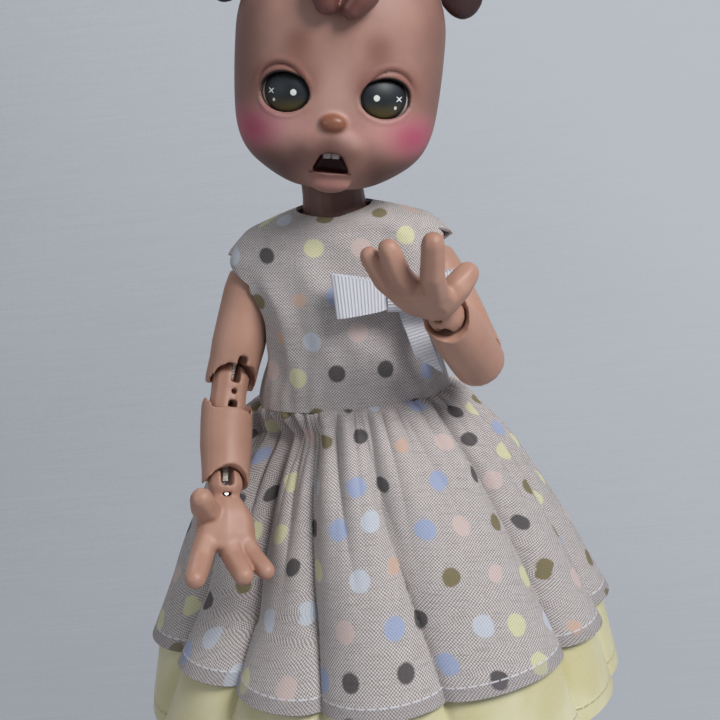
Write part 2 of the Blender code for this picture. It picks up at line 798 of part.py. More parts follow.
def cavity():
    """The torso's hollow, which the bores lead into."""
    rings = []
    for share in (0.0, 0.12, 0.88, 1.0):
        size = 0.72 if share in (0.0, 1.0) else 1.0
        height = CAVITY_TOP + (CAVITY_BOTTOM - CAVITY_TOP) * share
        wide = TORSO_WIDTH / 2 * 0.86 - TORSO_WALL
        deep = TORSO_DEPTH / 2 * 0.92 - TORSO_WALL
        rings.append(ring((0, 0, height), wide * size, deep * size, 12, 2.2))
    return loft(rings)


def thigh_room(at, raised, out):
    """A round room for a thigh that leaves at while raised to the front and turned out by these degrees."""
    turn = Matrix.Rotation(-math.radians(raised), 3, "X") @ Matrix.Rotation(-math.radians(out), 3, "Y")
    return rod(THIGH_RADIUS + CLEARANCE * 2, at, at + turn @ Vector((0, 0, -TORSO_DEPTH)), sides=14)


def hip_cutters(side):
    """What the hip needs out of the torso: the ball's socket, the rim's sweep and the raised thigh."""
    at = Vector((side * HIP_SPREAD, 0, HIP_HEIGHT))
    socket = moved(ball(HIP_BALL_RADIUS + CLEARANCE, sides=SOCKET_SIDES), at, ("Y", 90.0))
    sweep_radius = THIGH_RADIUS + CLEARANCE * 4
    sweep = ball(sweep_radius)
    reach = sweep_radius + OVERRUN
    cut(sweep, box((-reach, -reach, HIP_BALL_RADIUS * 0.5), (reach, reach, reach)))
    moved(sweep, at, ("X", -SWEEP_TILT))
    raised = [thigh_room(at, lift, side * out) for lift, out in RAISED_THIGHS]
    bore = rod(BORE_RADIUS, at, (at.x * HIP_BORE_LEAN, 0, CAVITY_BOTTOM + OVERRUN * 2), sides=10)
    hanging = thigh_room(at - Vector((0, 0, HIP_BALL_RADIUS * 0.3)), 0.0, 0.0)
    return bore, join(sweep, *raised, hanging), socket


def shoulder_flat(side):
    """What the torso loses beyond the flat that the shoulder's ball is sunk into."""
    near, far = side * SHOULDER_FLAT, side * TORSO_WIDTH
    return box((min(near, far), -TORSO_DEPTH, SHOULDER_HEIGHT - SHOULDER_BALL_RADIUS * 2.5),
               (max(near, far), TORSO_DEPTH, NECK_PIVOT_HEIGHT))


def make_torso(carrier):
    body = loft(torso_rings())
    hollow = cavity()
    above = NECK_PIVOT_HEIGHT + NECK_RADIUS * 1.5
    neck_bore = rod(NECK_BORE_RADIUS, (0, 0, CAVITY_TOP - OVERRUN), (0, 0, above), sides=14)
    arm_bore = rod(
        BORE_RADIUS, (-SHOULDER_SPREAD, 0, SHOULDER_HEIGHT), (SHOULDER_SPREAD, 0, SHOULDER_HEIGHT), sides=10
    )
    cut(body, hollow, neck_bore, arm_bore)
    for side in (-1, 1):
        at = (side * SHOULDER_SPREAD, 0, SHOULDER_HEIGHT)
        socket = ball(SHOULDER_BALL_RADIUS + CLEARANCE, sides=SOCKET_SIDES)
        cut(body, shoulder_flat(side), moved(socket, at, ("Y", 90.0)))
        cut(body, *hip_cutters(side))
    piece(body, "torso", carrier, RESIN)


def make_torso_stringing(carrier):
    """The arms' elastic runs behind the neck's, and the legs' hangs from the end of the neck's."""
    reach = SHOULDER_SPREAD - SHOULDER_BALL_RADIUS - CLEARANCE
    behind = ELASTIC_RADIUS * 2 + CLEARANCE * 2
    aside = NECK_BORE_RADIUS + ELASTIC_RADIUS
    half = [(ELASTIC_RADIUS, behind), (aside, 0), (reach, 0)]
    places = [(-x, y) for x, y in half[::-1]] + half
    across = limb_of([(x, y, SHOULDER_HEIGHT) for x, y in places], [ELASTIC_RADIUS] * len(places))
    piece(across, "arm_elastic", carrier, ELASTIC)
    apex = neck_cord_end() - ELASTIC_RADIUS - CLEARANCE
    bend_x, bend_z = HIP_SPREAD * HIP_BORE_LEAN, CAVITY_BOTTOM + OVERRUN * 2
    along = Vector((bend_x - HIP_SPREAD, 0, bend_z - HIP_HEIGHT)).normalized()
    foot = Vector((HIP_SPREAD, 0, HIP_HEIGHT)) + along * (HIP_BALL_RADIUS + CLEARANCE)
    places = (
        (-foot.x, foot.z), (-bend_x, bend_z), (-ELASTIC_RADIUS * 2, apex),
        (ELASTIC_RADIUS * 2, apex), (bend_x, bend_z), (foot.x, foot.z),
    )
    legs = limb_of([(x, 0, z) for x, z in places], [ELASTIC_RADIUS] * len(places))
    piece(legs, "leg_elastic", carrier, ELASTIC)


# Limbs


def cup_radius(radius):
    """The radius of a cup whose flats clear a ball that turns in it."""
    return (radius + CLEARANCE / 2) / math.cos(math.pi / LIMB_SIDES)


class Limb:
    """The sizes of an arm or a leg, so that both are made by the same functions."""

    def __init__(self, **sizes):
        self.__dict__.update(sizes)
        self.cup = cup_radius(self.joint)
        self.outer = self.cup + self.wall


ARM = Limb(
    ball=SHOULDER_BALL_RADIUS, upper=UPPER_ARM_LENGTH, upper_radius=UPPER_ARM_RADIUS, joint=ELBOW_RADIUS,
    pitch=ELBOW_PITCH, wall=ELBOW_WALL, rim=ELBOW_RIM, arch=ELBOW_ARCH, lower=FOREARM_LENGTH,
    lower_radius=FOREARM_RADIUS, end_ball=WRIST_BALL_RADIUS, end_wall=WRIST_WALL, inside=-1,
    upper_shares=((0.135, 0.90), (0.27, 0.98), (0.70, 0.99)),
    lower_shares=((0.20, 0.99), (0.52, 0.98), (0.82, 0.89)),
)
LEG = Limb(
    ball=HIP_BALL_RADIUS, upper=THIGH_LENGTH, upper_radius=THIGH_RADIUS, joint=KNEE_RADIUS,
    pitch=KNEE_PITCH, wall=KNEE_WALL, rim=KNEE_RIM, arch=KNEE_ARCH, lower=SHIN_LENGTH,
    lower_radius=SHIN_RADIUS, end_ball=ANKLE_BALL_RADIUS, end_wall=ANKLE_WALL, inside=1,
    upper_shares=((0.080, 0.93), (0.18, 0.94), (0.55, 0.93)),
    lower_shares=((0.22, 1.00), (0.55, 0.92), (0.86, 0.76)),
)


def bore_angle(radius):
    return math.degrees(math.asin(BORE_RADIUS / radius))


def rim_angle(limb, beyond):
    return math.degrees(math.asin(beyond / limb.cup))


def arch_cutter(limb, axis_z, top, bottom):
    """The arched opening that lets the joint piece swing out on the bending side."""
    wide, narrow = limb.outer * 0.9, limb.joint + CLEARANCE / 2
    corner = limb.joint * 0.4
    outline = [(wide, bottom), (wide, axis_z), (narrow, top - corner), (narrow - corner, top)]
    outline += [(-x, z) for x, z in outline[::-1]]
    low, high = sorted((0, limb.inside * (limb.upper_radius + OVERRUN)))
    return prism(outline, low, high)


def upper_segment(limb):
    """An upper arm or thigh: a cup over the ball, a bore, and an arched cup for the joint piece."""
    cup = cup_radius(limb.ball)
    knee = -limb.upper
    outer = [(cup * math.sin(math.radians(127)), cup * math.cos(math.radians(127)) + CLEARANCE)]
    outer += [(limb.upper_radius * r, -limb.upper * a) for a, r in limb.upper_shares]
    outer += [(limb.outer, knee + limb.arch), (limb.outer, knee), (limb.outer - CLEARANCE, knee - limb.rim)]
    inner = arc(limb.cup, knee, 90 + rim_angle(limb, limb.rim), bore_angle(limb.cup), 4)
    inner += arc(cup, 0, 180 - bore_angle(cup), 130, 3)
    made = turned(outer + inner)
    cut(made, arch_cutter(limb, knee, knee + limb.arch, knee - limb.rim - OVERRUN))
    low, high = sorted((0, limb.inside * (limb.upper_radius + OVERRUN)))
    notch_top = knee + limb.arch + SLOT_HALF * 2
    return cut(made, box((-SLOT_HALF, low, knee), (SLOT_HALF, high, notch_top)))


def lower_segment(limb):
    """A forearm or shin: a low-fronted cup for the joint piece and an arched cup for the end ball."""
    end_cup = cup_radius(limb.end_ball)
    end = -limb.lower
    end_rim = limb.end_ball * 0.12
    end_outer = end_cup + limb.end_wall
    outer = [(limb.outer - CLEARANCE, limb.rim), (limb.outer, 0)]
    outer += [(limb.lower_radius * r, end * a) for a, r in limb.lower_shares]
    outer += [(end_outer, end), (end_outer - CLEARANCE, end - end_rim)]
    end_angle = 90 + math.degrees(math.asin(end_rim / end_cup))
    inner = arc(end_cup, end, end_angle, bore_angle(end_cup), 3)
    inner += arc(limb.cup, 0, 180 - bore_angle(limb.cup), 90 - rim_angle(limb, limb.rim), 4)
    made = turned(outer + inner)
    cut(made, low_front(limb))
    arch = end_outer
    reach = limb.lower_radius + OVERRUN
    sunk = end - arch * 0.45
    return cut(made, rod(arch, (0, -reach, sunk), (0, reach, sunk), sides=16))


def low_front(limb):
    """What the lower cup loses on its bending side, so that the joint piece can swing over it."""
    wide, narrow = limb.outer * 0.9, limb.joint + CLEARANCE / 2
    bottom, corner = -limb.joint * 0.62, limb.joint * 0.12
    top = limb.rim + OVERRUN
    outline = [(wide, top), (wide, 0), (narrow, bottom + corner), (narrow - corner, bottom)]
    outline += [(-x, z) for x, z in outline[::-1]]
    low, high = sorted((0, limb.inside * (limb.upper_radius + OVERRUN)))
    return prism(outline, low, high)


def joint_piece(limb):
    """The two-ended ball between the segments, slotted for the elastic and with a pin hole."""
    low_angle = bore_angle(limb.joint)
    outline = arc(limb.joint, 0, low_angle, 108, 3)
    outline += [(limb.joint * 0.93, -limb.pitch / 2)]
    outline += arc(limb.joint, -limb.pitch, 72, 180 - low_angle, 3)
    made = turned(outline)
    far = limb.joint + OVERRUN
    low, high = sorted((limb.inside * far, -limb.inside * SLOT_HALF))
    shy = ELASTIC_RADIUS + CLEARANCE
    cut(made, box((-SLOT_HALF, low, -shy), (SLOT_HALF, high, far)))
    cut(made, box((-SLOT_HALF, low, -limb.pitch - far), (SLOT_HALF, high, -limb.pitch + shy)))
    pin = (0, limb.inside * far, -limb.pitch / 2)
    return cut(made, rod(SLOT_HALF * 0.7, (0, 0, -limb.pitch / 2), pin, sides=8))


def slotted_ball(radius, side, lift_share, back_slot):
    """A shoulder or hip ball, slotted outwards for the limb's elastic and bored for the torso's."""
    made = ball(radius)
    slot = SLOT_HALF
    out = side * radius * lift_share
    low, high = sorted((out, -side * slot))
    cut(made, box((low, -slot, -radius - OVERRUN), (high, slot, slot)))
    if back_slot:
        return cut(made, box((-slot, -slot, 0), (slot, radius + OVERRUN, radius + OVERRUN)))
    return cut(made, rod(slot, (0, 0, 0), (-side * (radius + OVERRUN), 0, 0), sides=8))


def string_hook():
    """The hook that the limb's elastic pulls on: a shank with a bar across its lower end."""
    shank = rod(HOOK_RADIUS, (0, 0, -HOOK_REACH), (0, 0, HOOK_RADIUS), sides=CORD_SIDES)
    bar = rod(HOOK_RADIUS, (0, -HOOK_BAR / 2, -HOOK_REACH), (0, HOOK_BAR / 2, -HOOK_REACH), sides=CORD_SIDES)
    return join(bar, shank)


def cut_for_hook(made, radius):
    """Slots a hand's or foot's ball for the elastic, and bores the seat that the hook's bar pulls up on."""
    near = ELASTIC_RADIUS + CLEARANCE
    reach = radius + OVERRUN
    far = near + radius * SIDE_BEND_SHARE
    fan = loft([
        ring((0, 0, height), wide, wide, 12)
        for height, wide in ((near, CLEARANCE), (far, reach), (-far, reach), (-near, CLEARANCE))
    ])
    shaped(fan, Matrix.Rotation(math.pi / 2, 4, "Y"))
    keep(fan, box((-reach, -reach, -near), (reach, reach, reach)))
    cut(made, fan)
    room = HOOK_RADIUS + CLEARANCE
    sway = HOOK_REACH * SIDE_BEND_SHARE + room
    cut(made, box((-sway, -room, -HOOK_REACH), (sway, room, 0)))
    half_bar = HOOK_BAR / 2 + CLEARANCE
    for k in (-1, 0, 1):
        x = k * HOOK_REACH * SIDE_BEND_SHARE
        z = -math.sqrt(HOOK_REACH ** 2 - x ** 2)
        cut(made, rod(room, (x, -half_bar, z), (x, half_bar, z), sides=6))
    return made


def make_hand():
    """The right hand, palm to the front: a palm, three fingers and a thumb, slightly curled."""
    half, thick = PALM_WIDTH / 2, PALM_THICK / 2
    shares = (
        (0.12, 0.42, 0.80), (0.28, 0.66, 0.95), (0.52, 0.95, 1.05), (0.78, 1.00, 1.00), (0.97, 0.92, 0.85),
    )
    palm = loft([
        ring((0, 0, -PALM_LENGTH * a), half * w, thick * t, 8, 2.3) for a, w, t in shares
    ])
    hand = join(palm, ball(WRIST_BALL_RADIUS))
    r, length = FINGER_RADIUS, FINGER_LENGTH
    fingers = (
        # root across the palm, spread at the tip, length, thickness, all as shares
        (-0.62, -1.18, 1.02, 1.02),
        (0.06, 0.44, 0.92, 1.00),
        (0.62, 1.22, 0.80, 0.90),
    )
    for root, tip, long, fat in fingers:
        line, radii = [], []
        for k in range(3):
            part = k / 2
            curl = math.radians(FINGER_CURL) * part
            x = half * (root + (tip - root) * part)
            z = -PALM_LENGTH * 0.80 - length * long * part * math.cos(curl * 0.6)
            y = -length * long * part * math.sin(curl)
            line.append((x, y, z))
            radii.append(r * fat * (1.0 - 0.14 * part))
        join(hand, rounded_limb(line, tuple(radii), sides=6))
    reach = THUMB_LENGTH
    line = [
        (-half * 0.45, 0, -PALM_LENGTH * 0.46),
        (-half * 0.80, -reach * 0.42, -PALM_LENGTH * 0.43),
        (-half * 0.98, -reach * 0.85, -PALM_LENGTH * 0.36),
    ]
    thumb = rounded_limb(line, (THUMB_RADIUS, THUMB_RADIUS * 1.02, THUMB_RADIUS * 0.88), sides=6)
    join(hand, thumb)
    return cut_for_hook(hand, WRIST_BALL_RADIUS)


def make_foot():
    """The right foot: heel, arch, instep and four small toes, flat underneath."""
    sole = -ANKLE_HEIGHT
    half = FOOT_WIDTH / 2
    shares = (
        # from the heel forwards, half width, top of the section
        (0.00, 0.42, 0.50), (0.06, 0.62, 0.80), (0.22, 0.70, 1.00), (0.42, 0.72, 0.98),
        (0.62, 0.88, 0.74), (0.80, 1.00, 0.50), (0.92, 0.92, 0.40),
    )
    rings = []
    for along, wide, tall in shares:
        y = FOOT_HEEL - FOOT_LENGTH * along
        radius = FOOT_TALL * tall / 2
        points = []
        for k in range(8):
            a = 2 * math.pi * k / 8
            reach = radius + OVERRUN * (a > math.pi)
            points.append(Vector((half * wide * math.cos(a), y, sole + radius + reach * math.sin(a))))
        rings.append(points)
    foot = loft(rings)
    ankle_foot, ankle_top = (0, 0, sole + FOOT_TALL * 0.5), (0, 0, -ANKLE_BALL_RADIUS * 0.35)
    ankle = rod(ANKLE_BALL_RADIUS, ankle_foot, ankle_top, sides=10, end_radius=ANKLE_BALL_RADIUS * 0.8)
    join(foot, ankle, ball(ANKLE_BALL_RADIUS))
    toe_y = FOOT_HEEL - FOOT_LENGTH * 0.93
    for across, size in ((0.66, 1.35), (0.16, 1.05), (-0.26, 0.95), (-0.64, 0.85)):
        radius = TOE_RADIUS * size
        toe_at = (half * across, toe_y + abs(across) * radius, sole + radius)
        toe = moved(ball(radius, (1, 1.25, 1), sides=7), toe_at)
        join(foot, toe)
    half_room = FOOT_LENGTH
    cut(foot, box((-half_room, -half_room, sole - FOOT_TALL), (half_room, half_room, sole)))
    return cut_for_hook(foot, ANKLE_BALL_RADIUS)


def make_limb(limb, names, side, at, pose, end_maker):
    """Strings one limb together from its ball to its hand or foot."""
    where = "left" if side > 0 else "right"
    ball_name, upper_name, joint_name, lower_name, end_name, end_joint = names
    inside = limb.inside
    swing = frame(f"{ball_name}_{where}_frame", None, at, ("X", pose["swing"]))
    lift = frame(f"{upper_name}_{where}_lift_frame", swing, turn=("Y", pose["lift"]))
    turn = frame(f"{upper_name}_{where}_frame", lift, turn=("Z", pose["turn"]))
    bend = inside * pose["elbow"] / 2
    hinge = frame(f"{joint_name}_{where}_frame", turn, (0, 0, -limb.upper), ("X", bend))
    lower = frame(f"{lower_name}_{where}_frame", hinge, (0, 0, -limb.pitch), ("X", bend))
    wrist = frame(f"{end_joint}_{where}_turn_frame", lower, (0, 0, -limb.lower), ("Z", pose["wrist_turn"]))
    hook = frame(f"{end_joint}_{where}_bend_frame", wrist, turn=("X", -pose["wrist_bend"]))
    end = frame(f"{end_name}_{where}_frame", hook, turn=("Y", pose["wrist_side"]))

    made = slotted_ball(limb.ball, side, LIFT_SLOT_SHARE[ball_name], inside > 0)
    piece(made, f"{ball_name}_{where}", swing, RESIN)
    cord = rod(ELASTIC_RADIUS, (0, 0, ELASTIC_SHY - limb.upper), (0, 0, -ELASTIC_SHY), sides=CORD_SIDES)
    piece(cord, f"{upper_name}_elastic_{where}", lift, ELASTIC)
    piece(upper_segment(limb), f"{upper_name}_{where}", turn, RESIN)
    piece(joint_piece(limb), f"{joint_name}_{where}", hinge, RESIN)
    cord = rod(ELASTIC_RADIUS, (0, 0, ELASTIC_SHY - limb.pitch), (0, 0, -ELASTIC_SHY), sides=CORD_SIDES)
    piece(cord, f"{joint_name}_elastic_{where}", hinge, ELASTIC)
    piece(lower_segment(limb), f"{lower_name}_{where}", lower, RESIN)
    cord = rod(ELASTIC_RADIUS, (0, 0, ELASTIC_SHY), (0, 0, limb.lower - ELASTIC_SHY), sides=CORD_SIDES)
    piece(cord, f"{lower_name}_elastic_{where}", wrist, ELASTIC)
    piece(string_hook(), f"{end_joint}_hook_{where}", hook, STEEL)
    made = end_maker()
    if side > 0:
        mirrored(made)
    piece(made, f"{end_name}_{where}", end, RESIN)


# Dress


def gather_part(drop):
    """How far the gathers have opened, from 0 at the waist to 1 at the skirt's hem."""
    for high, low in zip(GATHER_SHARES, GATHER_SHARES[1:]):
        if drop <= low[0]:
            return high[1] + (low[1] - high[1]) * (drop - high[0]) / (low[0] - high[0])
    return 1.0


def dent(angle, drop):
    """How far the right arm presses the cloth in, at an angle around it and a share of its drop."""
    off = (math.degrees(angle) - SKIRT_DENT_PLACE) / SKIRT_DENT_SPREAD
    if abs(off) >= 1:
        return 0.0
    fade = min(1.0, drop * 8) * max(0.0, min(1.0, (1.3 - drop) * 2))
    return SKIRT_DENT * math.cos(off * math.pi / 2) ** 2 * fade


def gathered(rows, hem_radius, hem_fold, inset):
    """A gathered skirt as one closed sheet through rows of its height and its share of the skirt's drop."""
    sheets = []
    sides = FOLDS * POINTS_PER_FOLD
    for thick in (0.0, CLOTH):
        rings = []
        for height, drop in rows:
            opened = gather_part(drop)
            beyond = max(0.0, drop - 1) / (rows[-1][1] - 1) if rows[-1][1] > 1 else 0.0
            radius = SKIRT_HEM_RADIUS + (hem_radius - SKIRT_HEM_RADIUS) * beyond
            deep = (SKIRT_FOLD_DEEP + (hem_fold - SKIRT_FOLD_DEEP) * beyond) * (0.30 + 0.70 * min(1.0, drop))
            points = []
            for k in range(sides):
                a = 2 * math.pi * k / sides
                wave = deep * (math.cos(FOLDS * a) + 0.25 * math.cos(4 * a))
                less = wave - inset * min(1.0, 0.85 + drop) - thick - dent(a, drop)
                half_x = WAIST_WIDTH / 2 + (radius - WAIST_WIDTH / 2) * opened + less
                half_y = WAIST_DEPTH / 2 + (radius - WAIST_DEPTH / 2) * opened + less
                points.append(Vector((half_x * math.cos(a), half_y * math.sin(a), height)))
            rings.append(points)
        sheets.append(rings)
    return tube_between(*sheets)


def arm_room(side):
    """Where the upper arm passes out of the bodice in this pose."""
    pose = POSE["left" if side > 0 else "right"]
    swing = Matrix.Rotation(math.radians(pose["swing"]), 3, "X")
    turn = swing @ Matrix.Rotation(math.radians(pose["lift"]), 3, "Y")
    at = Vector((side * SHOULDER_SPREAD, 0, SHOULDER_HEIGHT))
    down = turn @ Vector((0, 0, -UPPER_ARM_LENGTH))
    return rod(UPPER_ARM_RADIUS + ARM_EASE, at, at + down)


def make_dress(carrier):
    height = BODICE_TOP - WAIST_HEIGHT
    sheets = []
    for thick in (0.0, BODICE_WALL):
        sheets.append([
            ring((0, 0, WAIST_HEIGHT + height * a - (thick * 0.5 if a > 0.8 else 0)),
                 WAIST_WIDTH / 2 * w - thick, WAIST_DEPTH / 2 * d - thick, BODICE_SIDES, 2.2)
            for a, w, d in BODICE_SECTION_SHARES
        ])
    bodice = tube_between(*sheets)
    neckline = ball(1.0, (NECK_RADIUS * 1.45, NECK_RADIUS * 1.35, NECK_RADIUS * 0.8))
    cut(bodice, moved(neckline, (0, -NECK_RADIUS * 0.45, BODICE_TOP)))
    hole_middle = SHOULDER_HEIGHT - ARMHOLE_RADIUS * 0.60
    for side in (-1, 1):
        hole = rod(ARMHOLE_RADIUS, (side * SHOULDER_FLAT, 0, 0), (side * WAIST_WIDTH, 0, 0), sides=14)
        shaped(hole, Matrix.Diagonal((1, 0.95, 1.2, 1)))
        cut(bodice, moved(hole, (0, 0, hole_middle)), arm_room(side))
    piece(bodice, "dress_bodice", carrier, LINEN)
    top = WAIST_HEIGHT - CLEARANCE
    span = top - SKIRT_HEM_HEIGHT
    skirt_rows = [(top - span * drop, drop) for drop, _ in GATHER_SHARES]
    skirt = gathered(skirt_rows, SKIRT_HEM_RADIUS, SKIRT_FOLD_DEEP, 0.0)
    piece(skirt, "dress_skirt", carrier, LINEN)
    hem_drop = (top - PETTICOAT_HEM_HEIGHT) / span
    rows = skirt_rows + [(PETTICOAT_HEM_HEIGHT, hem_drop)]
    petticoat = gathered(rows, PETTICOAT_HEM_RADIUS, PETTICOAT_FOLD_DEEP, PETTICOAT_INSET)
    piece(petticoat, "petticoat", carrier, SATEEN)


def ribbon(path, width, flare=0.0):
    """A ribbon standing on edge: a strip of even thickness along a level path."""
    line = [Vector(point) for point in path]
    bm = bmesh.new()
    rows = []
    for k, middle in enumerate(line):
        ahead = (line[min(k + 1, len(line) - 1)] - line[max(k - 1, 0)]).normalized()
        across = Vector((0, 0, 1)).cross(ahead).normalized() * RIBBON_THICK / 2
        up = Vector((0, 0, 1)) * (width / 2 + flare * k / (len(line) - 1))
        corners = (middle - across - up, middle + across - up, middle + across + up, middle - across + up)
        rows.append([bm.verts.new(corner) for corner in corners])
    for one, other in zip(rows, rows[1:]):
        for k in range(4):
            n = (k + 1) % 4
            bm.faces.new((one[k], one[n], other[n], other[k]))
    bm.faces.new(rows[0])
    bm.faces.new(rows[-1])
    return as_object("ribbon", bm)


def make_bow(carrier):
    """Two folded loops, a wrapped knot and two tails, pinned to the front of the bodice."""
    share = (BOW_HEIGHT - WAIST_HEIGHT) / (BODICE_TOP - WAIST_HEIGHT)
    front = bodice_front(share, BOW_SPREAD)
    place = frame("bow_frame", carrier, (BOW_SPREAD, -front - BOW_OFF_CLOTH, BOW_HEIGHT), ("Z", BOW_TURN))
    start = BOW_KNOT_WIDTH / 2 + CLEARANCE
    back = -RIBBON_THICK * 2 - CLEARANCE - BOW_TAIL_FORWARD * 0.35
    for side, name in ((-1, "right"), (1, "left")):
        path = []
        for k in range(7):
            a = math.pi * k / 6
            x = start + (BOW_LOOP_LENGTH - start) * math.sin(a)
            y = back - BOW_LOOP_DEEP / 2 * (1 - math.cos(a))
            path.append((side * x, y, 0))
        loop = ribbon(path, RIBBON_WIDTH)
        piece(loop, "bow_loop_" + name, place, RIBBON)
    knot = ball(1.0, (BOW_KNOT_WIDTH / 2, BOW_LOOP_DEEP * 0.6, RIBBON_WIDTH * 0.30), sides=8)
    moved(knot, (0, back - BOW_LOOP_DEEP / 2, 0))
    piece(knot, "bow_knot", place, RIBBON)
    for side, name in ((-1, "right"), (1, "left")):
        piece(bow_tail(side), "bow_tail_" + name, place, RIBBON)


def bow_tail(side):
    """A tail that hangs from behind the knot, stands off the waist and ends in a slanting cut."""
    half = RIBBON_WIDTH * 0.28
    rings = []
    for down, forward, inner, outer in BOW_TAIL_SECTION_SHARES:
        y, z = -BOW_TAIL_FORWARD * forward, -BOW_TAIL_LENGTH * down
        corners = ((inner, 0), (outer, 0), (outer, RIBBON_THICK), (inner, RIBBON_THICK))
        rings.append([Vector((side * half * x, y - deep, z)) for x, deep in corners])
    tail = moved(loft(rings), (0, 0, 0), ("Y", -side * BOW_TAIL_SPREAD))
    return moved(tail, (side * (half + CLEARANCE), 0, 0))


def bodice_front(share, across):
    """How far forward the bodice reaches at a share of its height, a little way off its middle."""
    for high, low in zip(BODICE_SECTION_SHARES, BODICE_SECTION_SHARES[1:]):
        if share >= low[0]:
            part = (share - low[0]) / (high[0] - low[0])
            wide = (low[1] + (high[1] - low[1]) * part) * WAIST_WIDTH / 2
            deep = (low[2] + (high[2] - low[2]) * part) * WAIST_DEPTH / 2
            return deep * (1 - (across / wide) ** 2.2) ** (1 / 2.2)
    return WAIST_DEPTH / 2


def main():
    neck_at = (0, 0, NECK_PIVOT_HEIGHT)
    yaw = frame("neck_yaw_frame", None, neck_at)
    nod = frame("neck_nod_frame", yaw)
    head = frame("head_frame", nod, turn=("Y", HEAD_ROLL))
    cap = frame("head_cap_frame", head)
    make_head(head, cap)
    for side in (-1, 1):
        make_ear(side, cap)
    make_forelock(cap)
    make_neck_stringing(yaw, nod)
    make_torso(None)
    make_torso_stringing(None)
    arm_names = ("shoulder_ball", "upper_arm", "elbow_joint", "forearm", "hand", "wrist")
    leg_names = ("hip_ball", "thigh", "knee_joint", "shin", "foot", "ankle")
    straight = dict.fromkeys(POSE["left"], 0.0)
    for side in (-1, 1):
        pose = POSE["left" if side > 0 else "right"]
        shoulder = (side * SHOULDER_SPREAD, 0, SHOULDER_HEIGHT)
        make_limb(ARM, arm_names, side, shoulder, pose, make_hand)
        make_limb(LEG, leg_names, side, (side * HIP_SPREAD, 0, HIP_HEIGHT), straight, make_foot)
    make_dress(None)
    make_bow(None)


main()
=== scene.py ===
import json
import math

import bmesh
import bpy
import numpy as np
from mathutils import Matrix, Vector, noise

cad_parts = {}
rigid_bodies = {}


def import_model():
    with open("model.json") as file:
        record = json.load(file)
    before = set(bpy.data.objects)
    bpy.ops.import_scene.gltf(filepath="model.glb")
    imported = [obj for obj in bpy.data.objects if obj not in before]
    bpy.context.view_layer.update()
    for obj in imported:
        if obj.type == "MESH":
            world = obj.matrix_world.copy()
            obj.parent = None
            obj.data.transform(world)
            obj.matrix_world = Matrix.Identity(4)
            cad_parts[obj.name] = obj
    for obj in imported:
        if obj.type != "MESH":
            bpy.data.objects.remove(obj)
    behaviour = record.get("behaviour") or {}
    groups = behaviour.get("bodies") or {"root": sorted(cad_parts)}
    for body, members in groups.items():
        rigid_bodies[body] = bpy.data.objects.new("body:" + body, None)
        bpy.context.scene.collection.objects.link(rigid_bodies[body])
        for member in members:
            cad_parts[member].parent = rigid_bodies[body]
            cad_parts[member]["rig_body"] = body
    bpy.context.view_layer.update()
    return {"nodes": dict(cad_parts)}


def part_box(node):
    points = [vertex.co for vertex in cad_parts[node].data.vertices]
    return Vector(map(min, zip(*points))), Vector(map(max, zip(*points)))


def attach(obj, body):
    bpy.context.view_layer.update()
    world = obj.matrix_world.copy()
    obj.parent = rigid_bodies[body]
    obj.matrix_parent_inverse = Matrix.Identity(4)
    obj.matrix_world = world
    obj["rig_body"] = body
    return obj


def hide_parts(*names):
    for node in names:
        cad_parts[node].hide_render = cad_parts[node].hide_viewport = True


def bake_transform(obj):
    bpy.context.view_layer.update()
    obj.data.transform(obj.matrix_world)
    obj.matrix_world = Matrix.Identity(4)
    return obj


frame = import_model()


# Camera and room.
# The doll stands on a pale sweep of cloth that runs up behind it. One broad soft lamp hangs over its
# left front, with a weak one on its right, one behind and the room's own light all round.
def deselect():
    """Nothing stays selected, because every operator acts on all that is."""
    if bpy.context.mode != "OBJECT":
        bpy.ops.object.mode_set(mode="OBJECT")
    bpy.ops.object.select_all(action="DESELECT")


def take(obj):
    """Selects this piece alone and makes it the one that operators work on."""
    deselect()
    obj.select_set(True)
    bpy.context.view_layer.objects.active = obj
    return obj


def paint(red, green, blue):
    """A colour as it looks on a screen, from 0 to 255, made ready for a shader."""
    seen = [value / 255 for value in (red, green, blue)]
    return tuple(v / 12.92 if v <= 0.04045 else ((v + 0.055) / 1.055) ** 2.4 for v in seen) + (1.0,)


deselect()
bpy.ops.object.camera_add()
camera = bpy.context.object
camera.name = "camera"
facing = (
    Matrix.Rotation(math.radians(3.9), 4, "Z")
    @ Matrix.Rotation(math.radians(-13.0), 4, "X")
    @ Matrix.Rotation(math.radians(6.1), 4, "Y")
)
camera.matrix_world = (
    Matrix.Translation((0.026, -0.350, 0.235)) @ facing @ Matrix.Rotation(math.radians(90), 4, "X")
)
camera.data.sensor_width = 36
camera.data.lens = 73.5
camera.data.clip_start = 0.01
bpy.context.scene.camera = camera
bpy.context.scene.view_settings.view_transform = "Standard"

for lamp_name, spot, size, power in (
    ("lamp_key", (0.46, -0.42, 0.66), 0.34, 5.3),
    ("lamp_fill", (-0.85, -0.70, 0.55), 0.70, 1.7),
    ("lamp_back", (-0.20, 0.60, 0.80), 0.50, 2.0),
):
    deselect()
    bpy.ops.object.light_add(type="AREA", location=spot)
    lamp = bpy.context.object
    lamp.name = lamp_name
    lamp.data.shape = "DISK"
    lamp.data.size = size
    lamp.data.energy = power
    lamp.rotation_euler = (Vector((0, 0, 0.16)) - Vector(spot)).to_track_quat("-Z", "Y").to_euler()

room_air = bpy.data.worlds.new("room_air")
room_air.use_nodes = True
room_air.node_tree.nodes["Background"].inputs["Color"].default_value = (0.72, 0.77, 0.84, 1)
room_air.node_tree.nodes["Background"].inputs["Strength"].default_value = 0.30
bpy.context.scene.world = room_air


